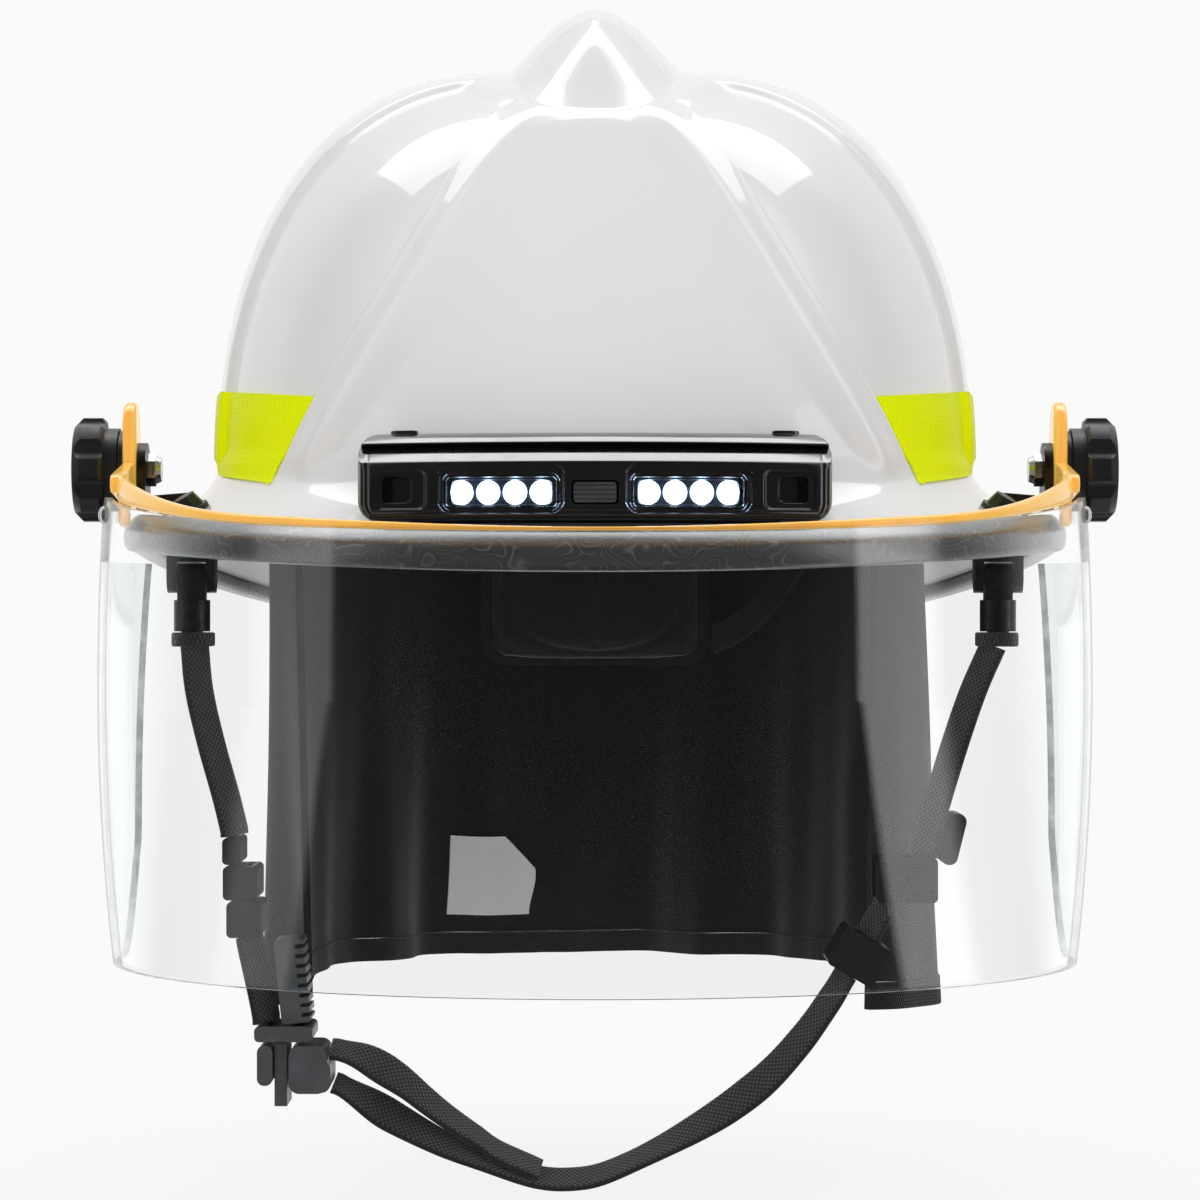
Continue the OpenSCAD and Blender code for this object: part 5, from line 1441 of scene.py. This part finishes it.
    def build(self) -> None:
        """Builds the case, the domes and their frames and dresses the bar's nodes."""
        self.build_case()
        self.build_diodes()
        self.build_bezels()
        dress(SEAT_RUBBER.material(), "light_bracket")
        dress(LENS.material(), "light_lens")
        dress(BOARD.material(), "led_board")
        dress(BUTTON.material(), "light_button")
        dress(CELL.material(), "battery_cells")
        dress(BLACK_STEEL.material(), "light_screws")


def ribbon(line: Array, across: Array, width: float, thick: float) -> tuple[Array, list[list[int]], Array]:
    """A flat strap along a line, its section a flattened oval.

    Formula: the section's corners follow |x|^4 + |y|^4 = 1 scaled to half the width and thickness,
    set square to the line's tangent.

    Args:
        line: Its middle line, evenly spaced.
        across: Direction of its width at each point.
        width: Its width.
        thick: Its thickness.

    Returns:
        Points, faces, and cloth coordinates in metres for each point.
    """
    tangent = unit(np.gradient(line, axis=0))
    b = unit(across - tangent * np.sum(across * tangent, -1, keepdims=True))
    c = np.cross(tangent, b)
    t = circle(24)
    w, h = signed_power(np.cos(t), 0.35) * width / 2, signed_power(np.sin(t), 0.5) * thick / 2
    rings = line[:, None] + b[:, None] * w[None, :, None] + c[:, None] * h[None, :, None]
    points, faces = capped(rings)
    run = np.concatenate([[0], np.cumsum(np.linalg.norm(np.diff(line, axis=0), axis=1))])
    uv = np.stack(np.broadcast_arrays(run[:, None], w[None]), -1).reshape(-1, 2) * MM
    return points, faces, uv


def strap_piece(name: str, strips: Sequence[tuple[Array, Array, float, float]], material: bpy.types.Material,
                place: Place, cuffs: Sequence[tuple[Array, list, Array]] = ()) -> bpy.types.Object:
    """Several straps as one piece.

    Args:
        name: The piece's name.
        strips: Line, across, width and thickness of each strap.
        material: Its webbing.
        place: What it belongs to.
        cuffs: Points, faces and cloth coordinates of loops sewn to them.

    Returns:
        The piece.
    """
    made = [ribbon(*strip) for strip in strips] + list(cuffs)
    points, faces = joined([(p, f) for p, f, _ in made])
    return new_piece(name, points, faces, material, place, uv=np.vstack([uv for _, _, uv in made]))


@dataclass
class Suspension:
    """What holds the helmet on the head: headband, hangers, crown webbing, pads and ratchet."""

    form: ShellForm = FORM
    under: float = 27.1
    foot_y: float = 6.0
    strap: tuple[float, float] = (19.0, 1.4)
    taus: tuple[float, ...] = (0.064, 0.14, 0.25, 0.38, 0.52, 0.66, 0.8, 0.92)
    layer: float = 1.9
    rear_lift: float = 6.4
    rear_shift: float = 5.0

    def half_strap(self, degrees: float, k: int, run: Array) -> tuple[Array, Array]:
        """One end of a crown strap up to the crown.

        Formula: the wall's own curve moved in by the liner and by 1.9 mm for each strap it passes
        under, the rear ends up to 6.4 mm more; its width lies along the wall and turns towards the
        whole strap's across near the top.

        Args:
            degrees: Where it starts, from the front.
            k: How many straps lie over it.
            run: The whole strap's across at the crown.

        Returns:
            Points up to the crown and the across of each.
        """
        tau = np.array(self.taus)
        th = np.radians(degrees) + 0 * tau
        rear = float(abs(degrees) > 120)
        lift = self.rear_lift * rear * smooth((1.06 - tau) / 0.2)
        line = self.form.wall_pt(th, tau, -self.under - self.layer * k - lift)
        line[:, 1] -= self.rear_shift * rear * smooth((tau - 0.4) / 0.3)
        along = unit(self.form.wall_pt(th + 0.035, tau) - self.form.wall_pt(th - 0.035, tau))
        along *= np.where(along @ run < 0, -1, 1)[:, None]
        turn = smooth((tau - 0.5) / 0.42)[:, None]
        return line, unit(along * (1 - turn) + run * turn)

    def build_webbing(self) -> None:
        """Three straps that cross under the crown, each lying on the one before."""
        strips = []
        for k, (start, stop) in enumerate(((62, -151), (-62, 151), (97, -97))):
            first = [self.half_strap(degrees, k, np.array([1.0, 0, 0]))[0][0] for degrees in (start, stop)]
            run = unit(np.cross([0, 0, 1], first[1] - first[0]))
            (a, a_way), (b, b_way) = (self.half_strap(degrees, k, run) for degrees in (start, stop))
            crown = [[0, self.foot_y, self.form.crown - self.under - self.layer * k]]
            line = np.vstack([a, crown, b[::-1]])
            way = np.vstack([a_way, [run], b_way[::-1]])
            path = even_line(np.hstack([line, way]), 2.5)
            strips.append((path[:, :3], unit(path[:, 3:]), *self.strap))
        strap_piece("crown_webbing", strips, WEBBING.material(),
                    Place(Body.HELMET, Slot.WEBBING, ("crown_straps",)))

    def build_pads(self) -> None:
        """The brow, nape and crown pads with their sewn lines."""
        padding = Padding()

        def brow(p: Array) -> Array:
            """Upright lines 22 degrees apart, and one along the top and the foot."""
            th = np.degrees(np.arctan2(p[:, 0], -p[:, 1]))
            upright = np.abs((th / 22 + 0.5) % 1 - 0.5) * 22 * 1.5
            rim = np.abs(np.abs(p[:, 2] - 18) - 9.6)
            return np.maximum(sewn(upright), sewn(rim))

        def nape(p: Array) -> Array:
            """An oval line inside the outline and one down the middle."""
            ring = np.abs(np.hypot(p[:, 0] / 35, (p[:, 2] + 22) / 19) - 0.8) * 19
            return np.maximum(sewn(ring), sewn(p[:, 0]) * (ring > 2))

        def crown(p: Array) -> Array:
            """A ring 17 mm out and six spokes outside it."""
            reach = np.hypot(p[:, 0], p[:, 1] - self.foot_y)
            spoke = np.arctan2(p[:, 1] - self.foot_y, p[:, 0]) * 3 / math.pi
            away = np.abs((spoke + 0.5) % 1 - 0.5) * reach * math.pi / 3
            return np.maximum(sewn(reach - 17), sewn(away) * (reach > 17))

        padding.make("brow_cushion", "brow_pad", brow)
        padding.make("nape_cushion", "nape_pad", nape)
        padding.make("crown_cushion", "crown_pad", crown)

    def build(self) -> None:
        """Builds the webbing and the pads and dresses the suspension's hard nodes."""
        self.build_webbing()
        self.build_pads()
        dress(BAND_PLASTIC.material(), "headband", "band_hangers", "suspension_lugs", "adjust_strip_left",
              "adjust_strip_right")
        dress(NYLON.material(), "ratchet_housing", "ratchet_cover", "ratchet_knob")
        dress(PINION_NYLON.material(), "ratchet_pinion")


@dataclass
class NeckCurtain:
    """The neck curtain, its binding, the tabs that hold it and the bare tag on its inside."""

    form: ShellForm = FORM
    half: float = 100.0
    rear: float = 125.0
    wing: float = 0.74
    drop: float = 142.0
    cloth: float = 2.6
    fold: float = 6.0

    def plan(self, u: Array, v: Array) -> Array:
        """Where the cloth runs in plan, u from -1 at the left front to 1.

        Formula: an oval round the nape up to the wing, then a curve that turns in and forward.
        """
        a, right = np.abs(u), u > 0
        th = np.radians(180 - 81 * np.minimum(1, a / self.wing))
        p = oval(self.half, self.rear, 1, 2.15, th)
        t = np.maximum(0, a - self.wing) / (1 - self.wing)
        turn = np.where(right, 0.7 + 0.3 * v, 0.45)
        x = p[..., 0] - 21 * turn * t**1.6
        return np.stack([np.where(u < 0, -1, 1) * x, p[..., 1] - 27 * t**0.8], -1)

    def point(self, u: Array, v: Array, off: float = 0, ripple: float = 0) -> Array:
        """A point of the cloth.

        Formula: the plan moved out along its own normal by folds, two sines of u that grow with
        v^1.3, by a flare that grows with v, and by off; the height runs from top to foot.

        Args:
            u: Place along the cloth.
            v: Share of the way down.
            off: Distance outwards from the cloth's middle.
            ripple: Depth of a small extra ripple.

        Returns:
            Points.
        """
        p, q, r = self.plan(u, v), self.plan(u + 0.004, v), self.plan(u - 0.004, v)
        d = unit(q - r)
        n = np.stack([-d[..., 1], d[..., 0]], -1)
        a = np.abs(u)
        fold = (self.fold * v**1.3 * (0.62 * np.sin(np.radians(u * 1260 + 40))
                                      + 0.38 * np.sin(np.radians(u * 2020 - 70)))
                * (1 - 0.45 * smooth((a - 0.8) / 0.2)))
        flare = v * np.where(u > 0, 7, -4) * smooth((a - 0.35) / 0.3)
        small = ripple * v * np.sin(u * 61 + 5 * v) * np.sin(u * 23 - 3 * v + 1) * smooth((0.86 - a) / 0.1)
        top = self.form.brim_height(p[..., 1]) + 9
        low = np.where(u > 0, 6.5, 7 - 4.9 * smooth((a - 0.84) / 0.12))
        foot = -self.drop + 6 - low * smooth((a - 0.5) / 0.35)
        move = (fold + flare + off + small)[..., None]
        return np.concatenate([p + n * move, (top + (foot - top) * v)[..., None]], -1)

    def panel(self, u: tuple[float, float, int], v: tuple[float, float, int],
              hem: float = 0) -> tuple[Array, list[list[int]], Array]:
        """A two-sided panel of the curtain with its cloth coordinates.

        Args:
            u: First and last place along the cloth, and how many points.
            v: The same down the cloth.
            hem: What a folded hem adds to each face, less towards the two front edges.

        Returns:
            Points, faces and cloth coordinates.
        """
        uu, vv = np.meshgrid(np.linspace(*u), np.linspace(*v), indexing="xy")
        half = self.cloth / 2 + hem * (1 - smooth((np.abs(uu) - 0.84) / 0.08))
        points, faces = two_sided(self.point(uu, vv, half, 0.8), self.point(uu, vv, -half, 0.8))
        return points, faces, self.cut(uu, vv)

    def half_width(self) -> float:
        """Half the cloth's cut width: the length of its middle line."""
        u = np.linspace(0, 1, 400)
        line = self.point(u, 0 * u + 0.5)
        return float(np.linalg.norm(np.diff(line, axis=0), axis=1).sum())

    def cut(self, u: Array, v: Array) -> Array:
        """Cloth coordinates in metres for both sides of a panel."""
        uv = np.stack([u * self.half_width(), v * (self.drop + 6)], -1).reshape(-1, 2) * MM
        return np.vstack([uv, uv])

    def build_tag(self) -> bpy.types.Object:
        """The bare tag: a narrow sheet sewn at its foot whose far upper corner is cut and curls away.

        Formula: its right edge falls from 62 % of the width at the top to the whole width 42 % of
        the way down; it stands off the cloth by up to 1.6 mm towards that corner.
        """
        across, down = np.meshgrid(np.linspace(0, 1, 40), np.linspace(0, 1, 40), indexing="xy")
        right = 0.62 + 0.38 * np.clip(down / 0.42, 0, 1) ** 0.9 - 0.08 * smooth((down - 0.5) / 0.5)
        left = 0.03 * (1 - down)
        u = -0.245 + 0.15 * (left + (right - left) * across)
        v = 0.7 + 0.2 * (down + 0.012 * np.sin(3 * across))
        curl = 1.6 * (across * (1 - 0.7 * down)) ** 2 + 0.25 * np.sin(across * 5 + down * 3) ** 2
        stand = self.cloth / 2 + 0.3 + curl
        points, faces = two_sided(self.point(u, v, -stand, 0.8), self.point(u, v, -stand - 0.35, 0.8))
        return new_piece("bare_tag", points, faces, TAG_CLOTH.material(),
                         Place(Body.HELMET, Slot.TAG, ("care_tag",)), uv=self.cut(u, v), sharp=60)

    def build_tabs(self) -> None:
        """Six padded tabs that run from the cloth out to the shell's inside.

        Formula: the section is a superellipse of power 6, drawn in by a quarter circle of 1.2 mm at
        both ends; the length is found where the way out crosses the inside of the wall.
        """
        section, ease, form = oval(9, 11, 5, 6, circle(64)), 1.2, self.form
        inner = np.array(form.body) / 2 - form.wall
        bend = ease * np.cos(np.linspace(0, math.pi / 2, 5))
        tabs = []
        for side in (-1, 1):
            for u in (0.12, 0.38, 0.62):
                p, q = (self.point(np.array(side * u), np.array(0.04), off)
                        for off in (self.cloth / 2 + 0.55, 12))
                way = unit(q[:2] - p[:2])
                out = np.arange(0, 30, 0.2)
                spot = np.abs(p[:2] + way * out[:, None] - (0, form.wall_mid))
                past = ((spot / inner) ** form.squareness).sum(1) > 1
                reach = out[np.argmax(past)] - (1.4 if u < 0.2 else 1.1)
                at = np.concatenate([bend, np.linspace(1.4, reach - 1.4, 6), reach - bend])
                at = np.sort(np.clip(at, 0, reach))
                inside = np.maximum(0, ease - np.minimum(at, reach - at))
                share = 1 - (ease - np.sqrt(np.maximum(0, ease**2 - inside**2))) / 10
                y = section[:, 0] * share[:, None]
                z = 5 + (section[:, 1] - 5) * share[:, None]
                tabs.append(capped(np.stack([p[0] + way[0] * at[:, None] - way[1] * y,
                                             p[1] + way[1] * at[:, None] + way[0] * y, p[2] + z], -1)))
        points, faces = joined(tabs)
        new_piece("hook_tabs", points, faces, TAB_CLOTH.material(),
                  Place(Body.HELMET, Slot.CURTAIN, ("curtain_tabs",)))

    def build(self) -> None:
        """Builds the cloth, its binding, tag and tabs."""
        place = Place(Body.HELMET, Slot.CURTAIN, ("neck_curtain",))
        points, faces, uv = self.panel((-1, 1, 260), (0, 0.945, 70))
        cloth = new_piece("curtain_sheet", points, faces, CURTAIN.material(), place, uv=uv, sharp=60)
        points, faces, uv = self.panel((-1, 1, 260), (0.947, 1, 6), 0.6)
        hem = new_piece("curtain_hem", points, faces, BINDING.material(),
                        Place(Body.HELMET, Slot.BINDING, ("curtain_binding",)), uv=uv, sharp=60)
        tag = self.build_tag()
        self.build_tabs()
        flat = (2 * self.half_width() * MM, (self.drop + 4) * MM)


@dataclass
class ChinStrap:
    """The chin strap: swivels, webbing, buckles and adjuster, which swing below the anchors."""

    anchor_y: float = -61.0015
    stem_x: float = 115.3
    width: float = 19.0
    thick: float = 1.8
    loop: tuple[float, float] = (10.3, 4.4)
    loop_z: float = -31.3

    def hang(self, line: Sequence[tuple[float, float]]) -> Array:
        """A line given as x and z in the strap's own plane, made smooth and even."""
        return even_line([(x, self.anchor_y, z) for x, z in line], 1.6)

    def cuff(self, side: int) -> tuple[Array, list[list[int]], Array]:
        """The webbing's end, sewn as a loop round a swivel's stem.

        Formula: an oval of 10.3 by 4.4 mm about the stem, swept by a rounded wall 1.2 mm thick and
        4 mm tall.

        Args:
            side: -1 for the left, 1 for the right.

        Returns:
            Points, faces and cloth coordinates.
        """
        turn, wall = np.meshgrid(circle(56), circle(16), indexing="ij")
        out, up = signed_power(np.cos(wall), 0.6) * 0.6, signed_power(np.sin(wall), 0.4) * 2.0
        wide, deep = (self.loop[0] + out) * np.cos(turn), (self.loop[1] + out) * np.sin(turn)
        b = unit(np.array([-0.3 * side, 0.95]))
        points = np.stack([side * self.stem_x + wide * b[0] - deep * b[1],
                           self.anchor_y + wide * b[1] + deep * b[0], up + self.loop_z], -1).reshape(-1, 3)
        uv = np.stack([turn * 7.4, up], -1).reshape(-1, 2) * MM
        return points, grid_quads(56, 16, True, True).tolist(), uv

    def build(self) -> None:
        """Builds the webbing and dresses the hardware."""
        side, other, chin = (0.3, 0.95, 0), (-0.3, 0.95, 0), (0, 0.98, 0.18)
        runs = [
            ([(-114.9, -32.9), (-113.6, -46), (-110.2, -61), (-106, -76), (-103.6, -85.8),
              (-103.45, -87.5)], side),
            ([(-99.1, -116.3), (-98.9, -118), (-97.6, -124), (-95.6, -133), (-94.4, -139.4),
              (-94.35, -141.1)], side),
            ([(78.3, -116.2), (81.8, -110.1), (83.3, -108), (83.6, -106.4)], other),
            ([(94.3, -93.2), (94.6, -91.6), (97.6, -80), (103.4, -61), (108.6, -46), (114.2, -33.2)], other),
            ([(-75.8, -148.9), (-73.6, -149.1), (-66, -151.5), (-56, -157.6), (-48.5, -163.6), (-41.7, -169),
              (-34, -175), (-27.3, -180.4), (-15.8, -185.9)], chin),
            ([(-74.9, -158.5), (-73.2, -159.1), (-66, -163.4), (-56, -169.8), (-41.7, -178.6),
              (-27.3, -184.6), (-15.8, -188), (-6, -188.4), (3, -186.6), (15.8, -180.6), (30.2, -171.4),
              (47.4, -158.8), (58.9, -146.6), (67.5, -134.6), (72.03, -127.08)], chin)]
        strips = []
        for line, across in runs:
            path = self.hang(line)
            lie = np.array(across, float) + 0 * path
            if across is chin:
                path[:, 2] += 2.2 * smooth((-165 - path[:, 2]) / 20)
                twist = smooth((np.abs(path[:, 0] + 10) - 20) / 40) * smooth((path[:, 0] + 73) / 14)
                lie[:, 2] += 0.3 * twist
            strips.append((path, lie, self.width, self.thick))
        strap_piece("chin_webbing", strips, WEBBING.material(),
                    Place(Body.CHIN, Slot.WEBBING, ("strap_webbing",)), [self.cuff(-1), self.cuff(1)])
        dress(BLACK_STEEL.material(), "strap_anchors", "strap_swivels")
        dress(NYLON.material(), "strap_buckle", "slide_adjuster", "pull_tab")
        dress(GREY_BUCKLE.material(), "release_buckle")


@dataclass
class HangingRing:
    """The ring under the brim at the nape, its bracket and rivets."""

    def build(self) -> None:
        """Dresses the ring's nodes."""
        dress(BLACK_STEEL.material(), "hanger_bracket")
        dress(STEEL.material(), "hanger_rivets", "hanging_ring")


@dataclass
class Studio:
    """A white room: camera as in the photograph, soft lamps and a floor that keeps the shadow."""

    distance: float = 1.3
    height: float = -0.02
    frame_px: int = 1200
    width_at_origin: float = frame_px * 0.3012 * MM
    middle_column: float = 595.0
    floor: float = -0.1965
    wall_front: float = -0.515
    wall_back: float = -0.16
    room_back: float = 0.4
    box_across: float = 0.97
    box_along: tuple[float, float] = (-0.02, 0.62)
    box_level: float = 3.4
    shed: float = 0.66
    paper_shed: float = 0.84
    overhead_watts: float = 0.8
    front_watts: float = 21.0

    def camera(self) -> None:
        """Places the camera level on the centre line; its lens takes in 361 mm at the origin."""
        data = bpy.data.cameras.new("camera")
        data.sensor_width = 36
        data.sensor_fit = "HORIZONTAL"
        data.lens = 36 * self.distance / self.width_at_origin
        data.shift_x = (self.frame_px / 2 - self.middle_column) / self.frame_px
        data.clip_start, data.clip_end = 0.05, 50
        camera = bpy.data.objects.new("camera", data)
        camera.location = (0, -self.distance, self.height)
        camera.rotation_euler = (math.pi / 2, 0, 0)
        bpy.context.scene.collection.objects.link(camera)
        bpy.context.scene.camera = camera

    def lamp(self, name: str, place: Sequence[float], aim: Sequence[float], size: tuple[float, float],
             power: float) -> None:
        """Adds a soft rectangular lamp; gloss sees the room's own walls and box in its stead.

        Args:
            name: Its name.
            place: Where it stands, in metres.
            aim: The point it faces.
            size: Its width and height in metres.
            power: Its watts.
        """
        data = bpy.data.lights.new(name, "AREA")
        data.shape, data.size, data.size_y, data.energy = "RECTANGLE", size[0], size[1], power
        lamp = bpy.data.objects.new(name, data)
        way = np.array(aim, float) - np.array(place, float)
        lamp.location = place
        lamp.rotation_euler = Vector(way).to_track_quat("-Z", "Y").to_euler()
        lamp.visible_glossy = False
        bpy.context.scene.collection.objects.link(lamp)

    def mirrored_room(self, tree: bpy.types.NodeTree, way: Socket) -> Socket:
        """What gloss sees of the room: two white walls, a white backdrop and one wide overhead box.

        Formula: the way's share along Y is white from 59 to 81 degrees off the front and again behind,
        brighter towards +X; and the box shows where x / z lies within 0.97 and y / z from -0.02 to 0.62.

        Args:
            tree: The node tree.
            way: A direction or a place round the helmet.

        Returns:
            The level, 1 for white.
        """
        def step(value: Socket, at: float, wide: float = 0.02) -> Socket:
            """0 below a value and 1 above it."""
            return spread(tree, value, 0, 1, at - wide / 2, at + wide / 2)

        flat = add_node(tree, "ShaderNodeVectorMath", {0: way, 1: (1, 1, 0)}, operation="MULTIPLY").outputs[0]
        level = add_node(tree, "ShaderNodeVectorMath", {0: flat}, operation="NORMALIZE").outputs[0]
        split = add_node(tree, "ShaderNodeSeparateXYZ", {0: level}).outputs
        wall = sum_of(tree, "SUBTRACT", step(split["Y"], self.wall_front),
                      step(split["Y"], self.wall_back, 0.1))
        wall = sum_of(tree, "MULTIPLY", wall, spread(tree, split["X"], 0.65, 1.4, -0.3, 0.3))
        room = sum_of(tree, "ADD", sum_of(tree, "ADD", wall, 0.05), step(split["Y"], self.room_back, 0.3))
        whole = add_node(tree, "ShaderNodeSeparateXYZ", {0: way}).outputs
        up = sum_of(tree, "MAXIMUM", whole["Z"], 0.001)
        across = sum_of(tree, "ABSOLUTE", sum_of(tree, "DIVIDE", whole["X"], up))
        along = sum_of(tree, "DIVIDE", whole["Y"], up)
        near, far = self.box_along
        box = sum_of(tree, "MULTIPLY", sum_of(tree, "SUBTRACT", 1.0, step(across, self.box_across)),
                     sum_of(tree, "SUBTRACT", step(along, near), step(along, far)))
        return sum_of(tree, "ADD", room, sum_of(tree, "MULTIPLY", box, self.box_level))

    @staticmethod
    def watched(tree: bpy.types.NodeTree) -> tuple[Socket, Socket]:
        """Whether the eye meets a surface, straight or through a clear one, and whether gloss does."""
        path = add_node(tree, "ShaderNodeLightPath").outputs
        eye = sum_of(tree, "MAXIMUM", path["Is Camera Ray"], path["Is Transmission Ray"])
        return eye, path["Is Glossy Ray"]

    def world(self) -> None:
        """White to the camera, the room to reflections, and a softer level for the light it sheds."""
        world = bpy.data.worlds.new("white room")
        bpy.context.scene.world = world
        world.use_nodes = True
        tree = world.node_tree
        tree.nodes.clear()
        seen, mirror = self.watched(tree)
        way = add_node(tree, "ShaderNodeTexCoord").outputs["Generated"]
        shed, gloss, white = (
            add_node(tree, "ShaderNodeBackground", {"Color": linear("#ffffff"), "Strength": level}).outputs[0]
            for level in (self.shed, self.mirrored_room(tree, way), 1.0))
        mix = add_node(tree, "ShaderNodeMixShader", {0: mirror, 1: shed, 2: gloss})
        last = add_node(tree, "ShaderNodeMixShader", {0: seen, 1: mix.outputs[0], 2: white})
        out = add_node(tree, "ShaderNodeOutputWorld")
        tree.links.new(last.outputs[0], out.inputs["Surface"])

    def backdrop(self) -> None:
        """A floor that curves up behind the helmet, white to the eye and darker where shaded."""
        material, tree, surface = start_material("Matt white studio paper")
        seen, mirror = self.watched(tree)
        grain = spread(tree, speckle(tree, 40, 2), 0.9, 0.95)
        plain = add_node(tree, "ShaderNodeBsdfDiffuse", {"Color": linear("#e2e2e2"), "Roughness": grain})
        lit, gloss = (
            add_node(tree, "ShaderNodeEmission", {"Color": linear("#ffffff"), "Strength": level}).outputs[0]
            for level in (self.paper_shed, self.mirrored_room(tree, place_of(tree))))
        shaded = add_node(tree, "ShaderNodeBsdfDiffuse", {"Color": linear("#757575")}).outputs[0]
        both = add_node(tree, "ShaderNodeAddShader", {0: lit, 1: shaded})
        some = add_node(tree, "ShaderNodeMixShader", {0: mirror, 1: plain.outputs[0], 2: gloss})
        mix = add_node(tree, "ShaderNodeMixShader", {0: seen, 1: some.outputs[0], 2: both.outputs[0]})
        tree.links.new(mix.outputs[0], surface)
        turn = np.linspace(0, math.pi / 2, 13)
        cove = np.column_stack([2.2 + 1.2 * np.sin(turn), 1.2 - 1.2 * np.cos(turn)])
        profile = np.vstack([[-4, 0], cove, [3.4, 4]])
        x = np.linspace(-4.5, 4.5, 3)
        points = np.array([[[a, y, self.floor + z] for a in x] for y, z in profile])
        mesh = bpy.data.meshes.new("paper")
        mesh.from_pydata(points.reshape(-1, 3).tolist(), [], grid_quads(*points.shape[:2]).tolist())
        mesh.shade_smooth()
        mesh.materials.append(material)
        paper = bpy.data.objects.new("paper", mesh)
        bpy.context.scene.collection.objects.link(paper)

    def build(self) -> None:
        """Sets the room up."""
        scene = bpy.context.scene
        scene.view_settings.view_transform = "Standard"
        self.camera()
        self.world()
        self.backdrop()
        self.lamp("overhead", (0, 0.1, 1.5), (0, 0, 0), (2.4, 1.6), self.overhead_watts)
        self.lamp("front", (0, -2.2, 0.1), (0, 0, 0), (2.0, 1.4), self.front_watts)


def main() -> None:
    """Builds every sub-assembly in order."""
    logging.basicConfig(level=logging.INFO, format="%(name)s: %(message)s")
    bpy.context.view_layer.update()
    for part in (Studio(), Shell(), FaceShield(), LightBar(), Suspension(), NeckCurtain(), ChinStrap(),
                 HangingRing()):
        part.build()
        log.info("%s done", type(part).__name__)


if __name__ == "__main__":
    main()
